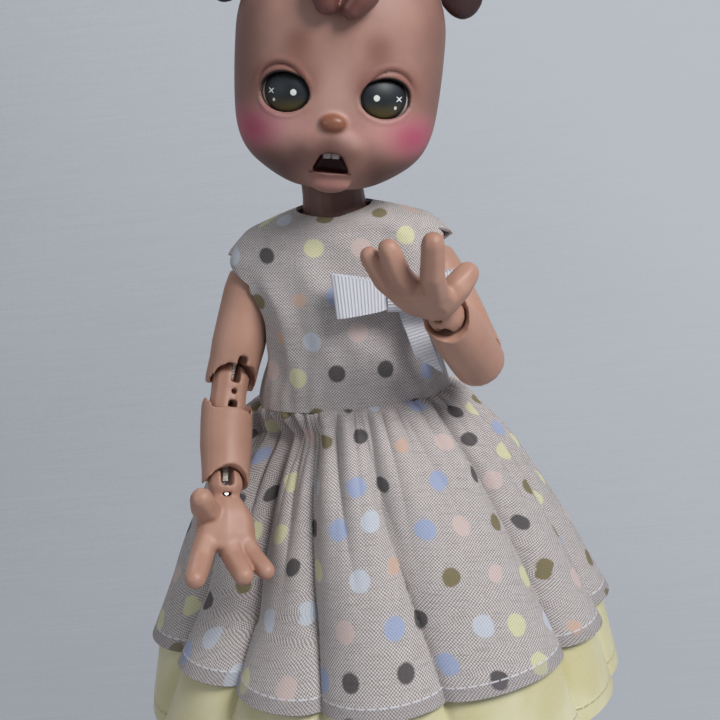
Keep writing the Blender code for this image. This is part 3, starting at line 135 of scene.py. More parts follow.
class Wire:
    """A shader socket that sums and products can be written with, so that a pattern reads as plain maths."""

    def __init__(self, socket):
        self.socket = socket

    def node(self, kind, settings=None, inputs=None, out=0):
        """Adds a node of this kind, sets it, then fills its sockets with values or wires."""
        tree = self.socket.id_data
        made = tree.nodes.new("ShaderNode" + kind)
        settings = dict(settings or {})
        stops = settings.pop("stops", None)
        for key, value in settings.items():
            setattr(made, key, value)
        if stops:
            ramp = made.color_ramp
            ramp.interpolation = "CONSTANT"
            while len(ramp.elements) < len(stops):
                ramp.elements.new(1.0)
            for element, (place, colour) in zip(ramp.elements, stops):
                element.position = place
                element.color = colour
        for key, value in (inputs or {}).items():
            if isinstance(value, Wire):
                tree.links.new(value.socket, made.inputs[key])
            else:
                made.inputs[key].default_value = value
        return Wire(made.outputs[out])

    def maths(self, operation, *values):
        return self.node("Math", {"operation": operation}, dict(enumerate(values)))

    def __add__(self, other):
        return self.maths("ADD", self, other)

    def __sub__(self, other):
        return self.maths("SUBTRACT", self, other)

    def __rsub__(self, other):
        return self.maths("SUBTRACT", other, self)

    def __mul__(self, other):
        return self.maths("MULTIPLY", self, other)

    def __truediv__(self, other):
        return self.maths("DIVIDE", self, other)

    def __pow__(self, other):
        return self.maths("POWER", self, other)

    def __abs__(self):
        return self.maths("ABSOLUTE", self)

    __radd__ = __add__
    __rmul__ = __mul__

    def root(self):
        return self.maths("SQRT", self)

    def sine(self):
        return self.maths("SINE", self)

    def whole(self):
        return self.maths("FLOOR", self)

    def over(self, low, high):
        """0 below low and 1 above high, or the other way round where low is the larger."""
        return self.node(
            "MapRange", {"interpolation_type": "SMOOTHSTEP"},
            {"Value": self, "From Min": low, "From Max": high},
        )

    def parts(self):
        """The three numbers of a vector."""
        split = self.node("SeparateXYZ", None, {0: self})
        return [Wire(socket) for socket in split.socket.node.outputs]

    def colour(self, below, above):
        """One colour where this is 0, the other where it is 1."""
        return self.node("Mix", {"data_type": "RGBA"}, {0: self, 6: below, 7: above}, out=2)

    def grain(self, scale, detail=2.0, roughness=0.5):
        """Soft random grain, from 0 to 1, read at this vector."""
        return self.node(
            "TexNoise", None, {"Vector": self, "Scale": scale, "Detail": detail, "Roughness": roughness},
        )

    def stretched(self, scale, place=(0, 0, 0), turn=(0, 0, 0)):
        """This vector scaled, turned and then moved."""
        return self.node(
            "Mapping", None, {"Vector": self, "Scale": scale, "Rotation": turn, "Location": place},
        )


class Finish:
    """A material with one shader. Even settings are given by name, and what varies is fed to it by wire."""

    def __init__(self, name, **even):
        self.material = bpy.data.materials.new(name)
        self.material.use_nodes = True
        self.tree = self.material.node_tree
        self.shader = self.tree.nodes["Principled BSDF"]
        for key, value in even.items():
            self.shader.inputs[key.replace("_", " ")].default_value = value
        coordinates = self.tree.nodes.new("ShaderNodeTexCoord")
        self.place = Wire(coordinates.outputs["Object"])
        self.chart = Wire(coordinates.outputs["UV"])

    def feed(self, socket, wire):
        self.tree.links.new(wire.socket, self.shader.inputs[socket])

    def relief(self, height, distance):
        """Raises the surface where height is 1, by this many metres."""
        bump = height.node("Bump", None, {"Height": height, "Distance": distance, "Strength": 1.0})
        self.feed("Normal", bump)


def layered(colour, *layers):
    """Lays each paint over the ones before it, where its mask is 1."""
    for mask, tint in layers:
        colour = mask.colour(colour, paint(*tint))
    return colour


deselect()
bpy.ops.mesh.primitive_plane_add(size=3.0, location=(0, -0.9, 0))
sweep = bpy.context.object
sweep.name = "paper_sweep"
bpy.ops.object.mode_set(mode="EDIT")
bpy.ops.mesh.select_all(action="DESELECT")
bpy.ops.object.mode_set(mode="OBJECT")
for edge in sweep.data.edges:
    edge.select = all(sweep.data.vertices[v].co.y > 0 for v in edge.vertices)
bpy.ops.object.mode_set(mode="EDIT")
bpy.ops.mesh.extrude_region_move(TRANSFORM_OT_translate={"value": (0, 0, 1.6)})
bpy.ops.object.mode_set(mode="OBJECT")
for edge in sweep.data.edges:
    ends = [sweep.data.vertices[v].co for v in edge.vertices]
    edge.select = all(end.y > 0 and abs(end.z) < 0.001 for end in ends)
bpy.ops.object.mode_set(mode="EDIT")
bpy.ops.mesh.bevel(offset=0.45, segments=24)
bpy.ops.mesh.select_all(action="SELECT")
bpy.ops.mesh.normals_make_consistent(inside=False)
bpy.ops.object.mode_set(mode="OBJECT")
if max(sweep.data.polygons, key=lambda face: face.area).normal.z < -0.5:
    sweep.data.flip_normals()
bpy.ops.object.shade_smooth()
bpy.ops.object.transform_apply(location=True, rotation=True, scale=True)

paper = Finish("sweep_cloth", Roughness=0.95)
px_, _, pz_ = paper.place.parts()
threads = paper.place.stretched((900, 900, 25)).grain(1.0, 2.0)
threads = threads + paper.place.stretched((25, 900, 900)).grain(1.0, 2.0)
# Painted shade: the sweep's colour darkens toward its left and toward the floor, and the camera sees it glow in
# that colour.
paper_painted_falloff = (px_ * 0.55 + pz_ * 0.55 + paper.place.grain(2.2) * 0.30 + threads * 0.10).over(-0.10, 0.55)
paper_colour = paper_painted_falloff.colour(paint(146, 149, 157), paint(190, 194, 201))
paper.feed("Base Color", paper_colour)
paper.relief(threads, 0.00005)
ray = paper.place.node("LightPath")
ray_kinds = ("Is Camera Ray", "Is Glossy Ray", "Is Transmission Ray")
seen = [Wire(ray.socket.node.outputs[kind]) for kind in ray_kinds]
glow = paper.place.node("Emission", None, {"Color": paper_colour, "Strength": 1.0})
paper_mix = paper.place.node(
    "MixShader", None,
    {0: (seen[0] + seen[1] + seen[2]) * 0.80, 1: Wire(paper.shader.outputs[0]), 2: glow},
)
# Whoever looks from behind the sweep sees the doll through it.
from_behind = Wire(paper.place.node("NewGeometry").socket.node.outputs["Backfacing"])
see_through = paper.place.node("BsdfTransparent")
paper_mix = paper.place.node("MixShader", None, {0: from_behind, 1: paper_mix, 2: see_through})
paper.tree.links.new(paper_mix.socket, paper.tree.nodes["Material Output"].inputs["Surface"])
sweep.data.materials.append(paper.material)


# Resin castings.
# Every casting is matt mocha resin, hollow where the elastic runs, sanded and faintly blushed with
# pastel. The torso's resin is painted darker than the head and limbs, as painted shade for the
# head's shadow on the neck.
def cast_resin(name, pale, deep):
    """Matt resin, clouded a little, with the fine tooth that wet sanding leaves."""
    made = Finish(name, Roughness=0.46)
    tooth = made.place.grain(2200.0, 2.0)
    made.feed("Base Color", made.place.grain(90.0, 3.0).over(0.25, 0.75).colour(paint(*deep), paint(*pale)))
    made.feed("Roughness", made.place.grain(300.0).over(0, 1) * 0.12 + 0.42)
    made.relief(tooth * 0.5 + made.place.grain(240.0) * 0.6, 0.00003)
    return made


resin = cast_resin("matt_mocha_resin", (186, 143, 124), (175, 132, 113))
# Painted shade: a darker copy of the resin for the torso, so that the neck looks shaded by the head.
painted_shade_torso_resin = cast_resin("dark_mocha_resin", (112, 79, 66), (102, 70, 58))

# The elastic, hooks and magnets inside keep their solids too: covered round elastic, bent spring
# steel wire, and small nickel plated discs.
elastic = Finish("covered_elastic", Roughness=0.85)
braid = (elastic.place.stretched((1, 1, 1)).parts()[2] * 9000.0).sine()
elastic.feed("Base Color", braid.over(-1, 1).colour(paint(196, 192, 182), paint(232, 229, 220)))
elastic.relief(braid, 0.00008)
steel = Finish("spring_steel", Metallic=1.0, Roughness=0.28)
drawn = steel.place.stretched((1, 1, 0.1)).grain(3000.0)
steel.feed("Base Color", drawn.colour(paint(170, 170, 174), paint(205, 205, 208)))
nickel = Finish("nickel_plate", Metallic=1.0, Roughness=0.22)
plating = nickel.place.grain(900.0)
nickel.feed("Base Color", plating.colour(paint(185, 184, 180), paint(214, 212, 206)))
nickel.feed("Roughness", plating * 0.2 + 0.15)

carried = {
    "mocha_resin": resin, "covered": elastic, "white_elastic": elastic,
    "steel_hook": steel, "nickel_magnet": nickel,
}
for node in frame["nodes"].values():
    for slot in node.material_slots:
        for key, finish in carried.items():
            if slot.material and slot.material.name.startswith(key):
                slot.material = finish.material
                break


# Torso, limbs, hands and feet.
# Cups, balls and slots stay where the frame's solids have them, so that the elastic and hooks still
# pass. Each casting is one even skin taken from its solid, its flats turned round and edges rubbed.
def all_faces(obj, operator, **settings):
    """Runs one edit mode operator on the whole of a piece."""
    take(obj)
    bpy.ops.object.mode_set(mode="EDIT")
    bpy.ops.mesh.select_all(action="SELECT")
    operator(**settings)
    bpy.ops.object.mode_set(mode="OBJECT")
    return obj


def shaded(obj, degrees):
    """Shades a piece smooth, but for the edges that turn more than this."""
    take(obj)
    bpy.ops.object.shade_smooth_by_angle(angle=math.radians(degrees))
    return obj


def linked(name, mesh):
    """A new piece with this mesh."""
    made = bpy.data.objects.new(name, mesh)
    bpy.context.scene.collection.objects.link(made)
    return made


def copy_of(node, name):
    """A piece that starts as a merged copy of a frame solid."""
    made = all_faces(linked(name, node.data.copy()), bpy.ops.mesh.remove_doubles, threshold=0.00001)
    made.data.materials.clear()
    return made


def applied(obj, kind, **settings):
    """Adds one modifier, sets it and applies it."""
    take(obj)
    modifier = obj.modifiers.new(kind.lower(), kind)
    for key, value in settings.items():
        setattr(modifier, key, value)
    bpy.ops.object.modifier_apply(modifier=modifier.name)
    return obj


def softened(obj, grid, passes, share=0.5):
    """Turns a piece into one even skin of small faces and rubs its edges round."""
    applied(obj, "REMESH", mode="VOXEL", voxel_size=grid)
    if passes:
        applied(obj, "SMOOTH", factor=share, iterations=passes)
    take(obj)
    bpy.ops.object.shade_smooth()
    return obj


def body_of(node_name):
    return frame["nodes"][node_name]["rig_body"]


def stands_for(obj, material, *node_names):
    """Gives the piece its finish and its body, and hides the frame nodes that it stands for."""
    obj.data.materials.clear()
    obj.data.materials.append(material)
    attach(obj, body_of(node_names[0]))
    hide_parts(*node_names)
    return obj


def turned_round(obj, place, sides=12):
    """Makes a limb that was turned with flats truly round about its own axis."""
    back, step = place.inverted(), 2 * math.pi / sides
    for v in obj.data.vertices:
        at = back @ v.co
        off = math.atan2(at.y, at.x) % step - step / 2
        swell = math.cos(off) / math.cos(step / 2)
        v.co = place @ Vector((at.x * swell, at.y * swell, at.z))


def rolled(axis, degrees):
    return Matrix.Rotation(math.radians(degrees), 4, axis)


def cast_limb(node_name, place, grid=0.00036):
    casting = softened(copy_of(frame["nodes"][node_name], node_name + "_cast"), grid, 2)
    if place is not None:
        turned_round(casting, place)
    applied(casting, "SMOOTH", factor=0.5, iterations=5)
    return stands_for(casting, resin.material, node_name)


shoulder_height = 0.181
upper_arm_long, elbow_pitch, forearm_long = 0.030, 0.0064, 0.0205
arm_pose = {
    "right": (-0.020, -14.1, 17.9, 27.7, 32.5), "left": (0.020, -28.8, -20.5, -11.9, 113.0),
}
wrist_at = {}
for where, (shoulder_x, swing, lift, turn, bend) in arm_pose.items():
    shoulder = Matrix.Translation((shoulder_x, 0, shoulder_height))
    upper = shoulder @ rolled("X", swing) @ rolled("Y", lift) @ rolled("Z", turn)
    middle = upper @ Matrix.Translation((0, 0, -upper_arm_long)) @ rolled("X", -bend / 2)
    lower = middle @ Matrix.Translation((0, 0, -elbow_pitch)) @ rolled("X", -bend / 2)
    wrist_at[where] = lower @ Vector((0, 0, -forearm_long))
    cast_limb("upper_arm_" + where, upper)
    cast_limb("elbow_joint_" + where, None, 0.00030)
    cast_limb("forearm_" + where, lower)
    for leg_node in ("thigh_", "knee_joint_", "shin_"):
        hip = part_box("hip_ball_" + where)
        axis_x, axis_y = ((hip[0][k] + hip[1][k]) / 2 for k in (0, 1))
        leg_place = Matrix.Translation((axis_x, axis_y, 0)) if leg_node != "knee_joint_" else None
        cast_limb(leg_node + where, leg_place, 0.00042)
stands_for(softened(copy_of(frame["nodes"]["torso"], "torso_cast"), 0.00050, 5), painted_shade_torso_resin.material, "torso")

for where in ("left", "right"):
    hand = softened(copy_of(frame["nodes"]["hand_" + where], "hand_" + where + "_cast"), 0.00036, 6)
    for v, normal in [(v, v.normal.copy()) for v in hand.data.vertices]:
        beyond = ((v.co - wrist_at[where]).length - 0.0048) / 0.0030
        v.co += normal * 0.00042 * min(1.0, max(0.0, beyond))
    applied(hand, "REMESH", mode="VOXEL", voxel_size=0.00036)
    applied(hand, "SMOOTH", factor=0.5, iterations=6)
    take(hand)
    bpy.ops.object.shade_smooth()
    stands_for(hand, resin.material, "hand_" + where)
    foot = softened(copy_of(frame["nodes"]["foot_" + where], "foot_" + where + "_cast"), 0.00036, 9)
    stands_for(foot, resin.material, "foot_" + where)


# Head.
# A hollow casting in two halves with a slanting seam, the face with its lid openings, nose, muzzle
# and parted mouth, and a cap that magnets hold on. The face is painted with pastels and sealed;
# its colour also holds painted shade at the sides and jaw and a painted highlight on the nose bridge.
head_place = Matrix.Translation((0, 0, 0.199)) @ rolled("Y", 10) @ rolled("Z", 2.2)
half_wide, front_deep, back_deep, chin_drop, head_tall = 0.0243, 0.0256, 0.0248, 0.0010, 0.0585
face_rows = (
    (0.000, 0.150, 0.60, -0.26), (0.016, 0.370, 0.76, -0.04), (0.045, 0.540, 0.850, 0.23),
    (0.077, 0.672, 0.90, 0.41), (0.109, 0.775, 0.935, 0.54), (0.157, 0.870, 0.960, 0.67),
    (0.234, 0.943, 0.980, 0.80), (0.342, 0.978, 0.990, 0.91), (0.470, 0.996, 1.000, 0.98),
    (0.590, 1.000, 1.000, 1.00),
)


def through(rows, steps):
    """A smooth run of rows through the given ones."""
    rows = np.array(rows, float)
    padded = np.vstack((2 * rows[0] - rows[1], rows, 2 * rows[-1] - rows[-2]))
    made = []
    for k in range(len(rows) - 1):
        a, b, c, d = padded[k:k + 4]
        for t in np.arange(steps) / steps:
            made.append(0.5 * (2 * b + (c - a) * t + (2 * a - 5 * b + 4 * c - d) * t ** 2
                               + (3 * b - a - 3 * c + d) * t ** 3))
    made.append(rows[-1])
    return np.array(made)


def head_form(name, wall=0.0):
    """The egg of the head, narrow at the chin, or the same drawn in by a wall."""
    widest = face_rows[-1][0] * head_tall - chin_drop
    top = head_tall - chin_drop
    rows = through(face_rows, 3)
    rows[:, 0] = rows[:, 0] * head_tall - chin_drop
    for a in np.radians(np.linspace(6, 84, 14)):
        rows = np.vstack((rows, (widest + (top - widest) * math.sin(a),) + (math.cos(a),) * 3))
    deselect()
    bpy.ops.mesh.primitive_uv_sphere_add(segments=72, ring_count=len(rows) + 1, radius=1)
    form = bpy.context.object
    form.name = name
    middle = widest
    squeeze = Vector((1 - wall / half_wide, 1 - wall / front_deep, 1 - wall / (top - widest)))
    heights = sorted({round(v.co.z, 5) for v in form.data.vertices})
    for v in form.data.vertices:
        k = heights.index(round(v.co.z, 5))
        if k in (0, len(heights) - 1):
            row = rows[0] if k == 0 else rows[-1]
            at = Vector((0, (row[3] * back_deep - row[2] * front_deep) / 2, row[0]))
        else:
            z, w, f, b = rows[k - 1]
            angle = math.atan2(v.co.y, v.co.x)
            c, s = math.cos(angle), math.sin(angle)
            power = 2 / (2.5 if s < 0 else 2.1)
            at = Vector((
                math.copysign(abs(c) ** power, c) * w * half_wide,
                (b * back_deep - f * front_deep) / 2
                + math.copysign(abs(s) ** power, s) * (b * back_deep + f * front_deep) / 2,
                z,
            ))
        v.co = Vector((at.x * squeeze.x, at.y * squeeze.y, middle + (at.z - middle) * squeeze.z))
    return form


def front_at(height):
    """How far forward the plain egg reaches at this height over the neck's pivot."""
    share = (height + chin_drop) / head_tall
    return np.interp(share, [row[0] for row in face_rows], [row[2] for row in face_rows]) * front_deep


def lump(place, size, turn=0.0):
    """A smooth oval lump of these half sizes."""
    deselect()
    bpy.ops.mesh.primitive_uv_sphere_add(segments=40, ring_count=28, radius=1, location=place,
                                         rotation=(0, math.radians(turn), 0), scale=size)
    bpy.ops.object.transform_apply(location=True, rotation=True, scale=True)
    return bpy.context.object


def carve(obj, tool, operation="DIFFERENCE"):
    """Cuts the tool from the piece, or keeps only what both share, and throws the tool away."""
    applied(obj, "BOOLEAN", operation=operation, solver="EXACT", object=tool)
    bpy.data.objects.remove(tool)
    return obj


def united(obj, *others):
    """Makes the pieces one object, still as separate skins."""
    take(obj)
    for other in others:
        other.select_set(True)
    bpy.context.view_layer.objects.active = obj
    bpy.ops.object.join()
    return obj


eye_spread, eye_height, eye_turn = 0.01145, 0.0206, math.radians(20)
eye_face_y = -front_at(eye_height) * (1 - (eye_spread / half_wide) ** 2.5) ** (1 / 2.5)
eye_size = Vector((0.0073, 0.0052, 0.0063))
lid_half_wide, lid_half_tall = 0.0056, 0.0044


def eye_centre(side):
    """Where the middle of the blown eye lies, behind its lid opening."""
    deep = eye_size.y - 0.0001
    across = side * (eye_spread - math.sin(eye_turn) * deep)
    return Vector((across, eye_face_y + math.cos(eye_turn) * deep, eye_height))


def eye_lump(side, extra):
    """The blown eye's oval body, or the room for it, before or after it is turned to its place."""
    made = lump((0, 0, 0), eye_size + Vector((extra,) * 3))
    made.data.transform(Matrix.Translation(eye_centre(side)) @ Matrix.Rotation(side * eye_turn, 4, "Z"))
    return made


face = head_form("face")
united(
    face,
    lump((0, -front_at(0.009) + 0.0032, 0.0088), (0.0092, 0.0054, 0.0076)),
    lump((-0.0033, -front_at(0.009) + 0.0006, 0.0088), (0.0039, 0.0025, 0.0030), 12),
    lump((0.0033, -front_at(0.009) + 0.0006, 0.0088), (0.0039, 0.0025, 0.0030), -12),
)
softened(face, 0.00050, 16)
united(
    face,
    lump((0, -front_at(0.015) - 0.0003, 0.0148), (0.0031, 0.0021, 0.0021)),
    lump((0, -front_at(0.0016) - 0.0004, 0.0014), (0.0046, 0.0024, 0.0023)),
)
softened(face, 0.00042, 3)
deselect()
bpy.ops.mesh.primitive_cube_add(size=1, location=(0, -front_at(0.0060) - 0.0010, 0.00600),
                                scale=(0.0088, 0.0080, 0.0044))
mouth = bpy.context.object
bpy.ops.object.transform_apply(location=True, rotation=True, scale=True)
for v in mouth.data.vertices:
    if v.co.z > 0.0060:
        v.co.x *= 0.50
applied(mouth, "BEVEL", width=0.0013, segments=5)
carve(face, mouth)
for side in (-1, 1):
    deselect()
    bpy.ops.mesh.primitive_cylinder_add(vertices=64, radius=1, depth=0.012, rotation=(math.radians(90), 0, 0))
    opening = bpy.context.object
    bpy.ops.object.transform_apply(location=True, rotation=True, scale=True)
    for v in opening.data.vertices:
        flare = 1.0 if v.co.y > 0 else 1.06
        v.co.x *= lid_half_wide * flare * (1.0 + 0.05 * (v.co.z < 0))
        v.co.z *= lid_half_tall * flare * (0.96 if v.co.z < 0 else 1.0)
    look = Matrix.Rotation(side * eye_turn, 4, "Z")
    opening.data.transform(Matrix.Translation((side * eye_spread, eye_face_y, eye_height)) @ look)
    carve(face, opening)
softened(face, 0.00034, 4)


def lid_reach(x, y, z):
    """1 on the rim of the nearer lid opening, more outside it, and how high round the rim it lies."""
    across = (abs(x) - eye_spread) * math.cos(eye_turn) + (y - eye_face_y) * math.sin(eye_turn)
    up = z - eye_height
    reach = math.hypot(across / lid_half_wide, up / lid_half_tall)
    return reach, up / (lid_half_tall * max(reach, 0.01)), across


def bell(value, middle, width):
    return math.exp(-((value - middle) / width) ** 2)


def crease_reach(across, up):
    """1 on the fold over the upper lid, which lies a little to the outside of the eye."""
    return math.hypot((across - 0.0009) / 0.0061, up / 0.0061)


for v in face.data.vertices:
    if v.co.y > -0.006 or abs(v.co.z - eye_height) > 0.012:
        continue
    reach, high, across = lid_reach(*v.co)
    if reach > 2.0 or reach < 0.9:
        continue
    upper = min(1.0, max(0.0, (high - 0.15) / 0.55))
    lower = min(1.0, max(0.0, (-high + 0.05) / 0.6))
    fold = crease_reach(across, v.co.z - eye_height)
    rise = 0.00030 * bell(reach, 1.16, 0.14) * upper - 0.00040 * bell(fold, 1.0, 0.065) * upper
    rise += 0.00022 * bell(fold, 1.16, 0.11) * upper + 0.00022 * bell(reach, 1.16, 0.10) * lower
    v.co += v.normal * rise
applied(face, "SMOOTH", factor=0.4, iterations=2)

carve(face, head_form("hollow", 0.0026))
for side in (-1, 1):
    carve(face, eye_lump(side, 0.0003))
neck_ball = 0.0074
seat = lump((0, 0, 0), (neck_ball + 0.0029,) * 3)
carve(seat, head_form("seat_keep", 0.0013), "INTERSECT")
carve(face, seat, "UNION")
carve(face, lump((0, 0, 0), (neck_ball + 0.0006,) * 3))
deselect()
bpy.ops.mesh.primitive_cylinder_add(vertices=40, radius=0.0042, depth=0.016, location=(0, 0, 0.008))
carve(face, bpy.context.object)
seam_way = Vector((0, math.sin(math.radians(17)), math.cos(math.radians(17))))
for node_name, gap, keep_above in (("head_shell", -0.00015, False), ("head_cap", 0.00015, True)):
    half = linked(node_name.replace("shell", "face") + "_cast", face.data.copy())
    all_faces(
        half, bpy.ops.mesh.bisect, plane_co=Vector((0, 0, 0.0404)) + seam_way * gap, plane_no=seam_way,
        use_fill=True, clear_inner=keep_above, clear_outer=not keep_above,
    )
    if keep_above:
        cap_cast = half
    else:
        face_cast = half
bpy.data.objects.remove(face)
for cast in (face_cast, cap_cast):
    cast.data.transform(head_place)
    shaded(cast, 50)

skin = Finish("painted_face_resin", Roughness=0.47)
back_turn = head_place.inverted()
face_map = skin.place.stretched(
    (1000, 1000, 1000), tuple(back_turn.translation * 1000), tuple(back_turn.to_euler()),
)
fx, fy, fz = face_map.parts()
side_x = abs(fx)
forward = fy.over(-6.0, -12.0)
speckle = face_map.grain(1.4, 4.0, 0.6)
cloud = face_map.grain(0.11, 3.0)


def spot(across, up, wide, tall, soft=1.0):
    """A soft oval on both sides of the face, 1 at its middle, for pastel and for the painted highlight on the
    nose bridge.
    """
    away = (((side_x - across) / wide) ** 2.0 + ((fz - up) / tall) ** 2.0).root()
    return away.over(1.0 + soft * 0.6, 1.0 - soft) * forward


lid_u = (side_x - eye_spread * 1000) * math.cos(eye_turn) + (fy - eye_face_y * 1000) * math.sin(eye_turn)
lid_v = fz - eye_height * 1000
lid_r = ((lid_u / (lid_half_wide * 1000)) ** 2.0 + (lid_v / (lid_half_tall * 1000)) ** 2.0).root()
lid_up = (lid_v / (lid_r * lid_half_tall * 1000)).over(-0.35, 0.55)
fold_r = (((lid_u - 0.9) / 6.1) ** 2.0 + (lid_v / 6.1) ** 2.0).root()
fold_up = (lid_v / (fold_r * 6.1)).over(0.35, 0.75)
crease = fold_r.over(0.93, 0.99) * fold_r.over(1.08, 1.01) * fold_up * forward
lash = lid_r.over(1.16, 1.05) * forward * (0.30 + lid_up * 0.70)
philtrum = spot(0.0, 10.4, 2.2, 2.6) * 0.45
nose_mask = spot(0.0, 14.8, 3.2, 2.25, 0.25)
mouth_front = -front_at(0.0060) * 1000
mouth_side = (side_x + (fz - 3.8) * 0.50).over(4.85, 4.55)
mouth_high = fz.over(3.4, 3.9) * fz.over(8.7, 8.3)
mouth_mask = fy.over(mouth_front - 1.2, mouth_front - 0.2) * mouth_side * mouth_high
skin_colour = layered(
    cloud.over(0.3, 0.7).colour(paint(163, 121, 108), paint(173, 131, 117)),
    # Painted shade: the face darkens toward its sides, over the temples.
    (side_x.over(14.0, 24.0) * 0.72, (112, 74, 63)),
    # Painted shade: the jaw darkens low on the face and toward its sides.
    (fz.over(13.0, 4.0) * side_x.over(3.5, 11.0) * 0.85, (82, 52, 44)),
    # Painted highlight: a pale oval on the nose bridge, between the eyes.
    (spot(0.0, 20.5, 5.0, 8.5), (190, 150, 137)),
    (spot(12.6, 13.6, 9.0, 4.6) * 0.80, (206, 150, 146)),
    (spot(18.2, 12.2, 5.8, 4.6) * (0.80 + speckle * 0.20), (182, 78, 106)),
    (spot(8.9, 31.0, 3.3, 3.9, 0.8) * 0.60, (122, 76, 62)),
    (fold_r.over(1.55, 1.05) * lid_up * forward * 0.55, (128, 76, 64)),
    (spot(6.4, 24.0, 3.4, 4.0) * 0.45, (122, 74, 62)),
    (crease * 0.70, (82, 42, 34)),
    (lash, (38, 20, 18)),
    (spot(0.0, 7.6, 8.6, 4.4) * 0.88, (80, 45, 39)),
    (philtrum, (88, 50, 44)),
    (spot(0.0, 1.4, 4.8, 2.1) * 0.85, (160, 110, 102)),
    (nose_mask, (140, 88, 66)),
    (mouth_mask * fy.over(-14.0, -16.0), (66, 26, 22)),
)
skin.feed("Base Color", skin_colour)
skin.feed("Roughness", 0.50 - nose_mask * 0.14 + speckle * 0.06)
skin.relief(speckle * 0.4 + face_map.grain(0.35), 0.00004)
stands_for(face_cast, skin.material, "head_shell")
stands_for(cap_cast, skin.material, "head_cap")

# Two small flat upper teeth stand side by side in the mouth, cast with the face and painted.
enamel = Finish("ivory_enamel", Roughness=0.30, Coat_Weight=0.3)
enamel.feed("Base Color", enamel.place.grain(700.0).colour(paint(206, 190, 182), paint(222, 208, 200)))
teeth = []
for side in (-1, 1):
    deselect()
    bpy.ops.mesh.primitive_cube_add(size=1, location=(side * 0.00098, mouth_front / 1000 + 0.0010, 0.0078),
                                    scale=(0.00190, 0.0010, 0.0020))
    bpy.ops.object.transform_apply(location=True, rotation=True, scale=True)
    teeth.append(applied(bpy.context.object, "BEVEL", width=0.00042, segments=5))
teeth = united(*teeth)
teeth.name = "upper_teeth"
teeth.data.transform(head_place)
teeth.data.materials.append(enamel.material)
take(teeth)
bpy.ops.object.shade_smooth()
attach(teeth, body_of("head_shell"))


# Eyes.
# Blown eyes with a flat back, set from inside with putty. Under the clear dome the big iris is
# painted dark slate above and olive brown below, with a white dot, a small star and a speck on each.
# A painted shadow of the upper lid lies across the top of each eye.
for side, node_name in ((-1, "eye_right"), (1, "eye_left")):
    eye = eye_lump(side, -0.00005)
    outward = Matrix.Rotation(side * eye_turn, 3, "Z") @ Vector((0, -1, 0))
    all_faces(
        eye, bpy.ops.mesh.bisect, plane_co=eye_centre(side) - outward * 0.0020, plane_no=outward,
        use_fill=True, clear_inner=True,
    )
    eye.data.transform(head_place)
    shaded(eye, 50)
    glass = Finish("painted_" + node_name, Roughness=0.50, Coat_Weight=0.05, Coat_Roughness=0.30)
    middle = Vector((side * eye_spread, 0, eye_height)) * 1000
    iris_map = glass.place.stretched(
        (1000, 1000, 1000), tuple(back_turn.translation * 1000 - middle), tuple(back_turn.to_euler()),
    )
    ex, ey, ez = iris_map.parts()
    ex = ex * side
    out = ((ex + 0.80) ** 2.0 + (ez - 0.25) ** 2.0).root()
    rays = iris_map.stretched((1, 0.02, 1)).grain(1.0, 4.0, 0.7)
    low = (ez + rays * 1.6).over(0.9, -3.4)
    dot = (((ex + 2.30) ** 2.0 + (ez - 0.20) ** 2.0).root()).over(0.80, 0.58)
    speck = (((ex - 1.95) ** 2.0 + ((ez + 1.75) / 1.3) ** 2.0).root()).over(0.38, 0.22)
    sx, sz = ex - 2.65, ez - 0.20
    arm_one, arm_two = abs(sx + sz), abs(sx - sz)
    near = (sx ** 2.0 + sz ** 2.0).root()
    star = (arm_one + near * 0.12).over(0.30, 0.14) + (arm_two + near * 0.12).over(0.30, 0.14)
    iris = layered(
        low.colour(paint(24, 31, 38), paint(84, 73, 30)),
        (rays.over(0.45, 0.75) * low * 0.35, (112, 102, 52)),
        (out.over(2.6, 1.2) * 0.45, (16, 18, 20)),
        (out.over(3.6, 5.0), (14, 13, 11)),
        (out.over(4.95, 5.25), (188, 180, 172)),
        # Painted shadow: the upper lid's shade, near black across the top of the eye.
        (ez.over(2.2, 4.2) * 0.9, (12, 11, 12)),
        ((dot + speck + star * near.over(0.95, 0.60)).over(0.1, 0.9), (226, 228, 222)),
    )
    glass.feed("Base Color", iris)
    stands_for(eye, glass.material, node_name)
    eye.name = node_name + "_blown"


# Ears and forelock.
# Cast in dark brown resin and glued to the cap: two drooping leaf shaped ears, and a forelock of
# thick curls that falls from the crown over the forehead.
dark_resins = {}
for part, deep, pale in (("ear", (46, 25, 26), (62, 36, 36)), ("forelock", (98, 56, 49), (122, 76, 66))):
    dark_resin = Finish("dark_brown_resin_" + part, Roughness=0.40, Coat_Weight=0.15)
    dark_cloud = dark_resin.place.grain(140.0, 3.0).over(0.25, 0.75)
    dark_resin.feed("Base Color", dark_cloud.colour(paint(*deep), paint(*pale)))
    strands = dark_resin.place.stretched((3.2, 1, 0.7)).grain(900.0, 3.0)
    dark_resin.feed("Roughness", strands * 0.2 + 0.26)
    dark_resin.relief(strands, 0.00005)
    dark_resins[part] = dark_resin.material


def ear_width(along):
    """Narrow at the root and round at the tip, as a share of the widest place."""
    if along < 0.62:
        return 0.36 + 0.66 * math.sin(along / 0.62 * math.pi / 2)
    return 1.02 * math.sqrt(max(0.0, 1 - ((along - 0.62) / 0.38) ** 2))


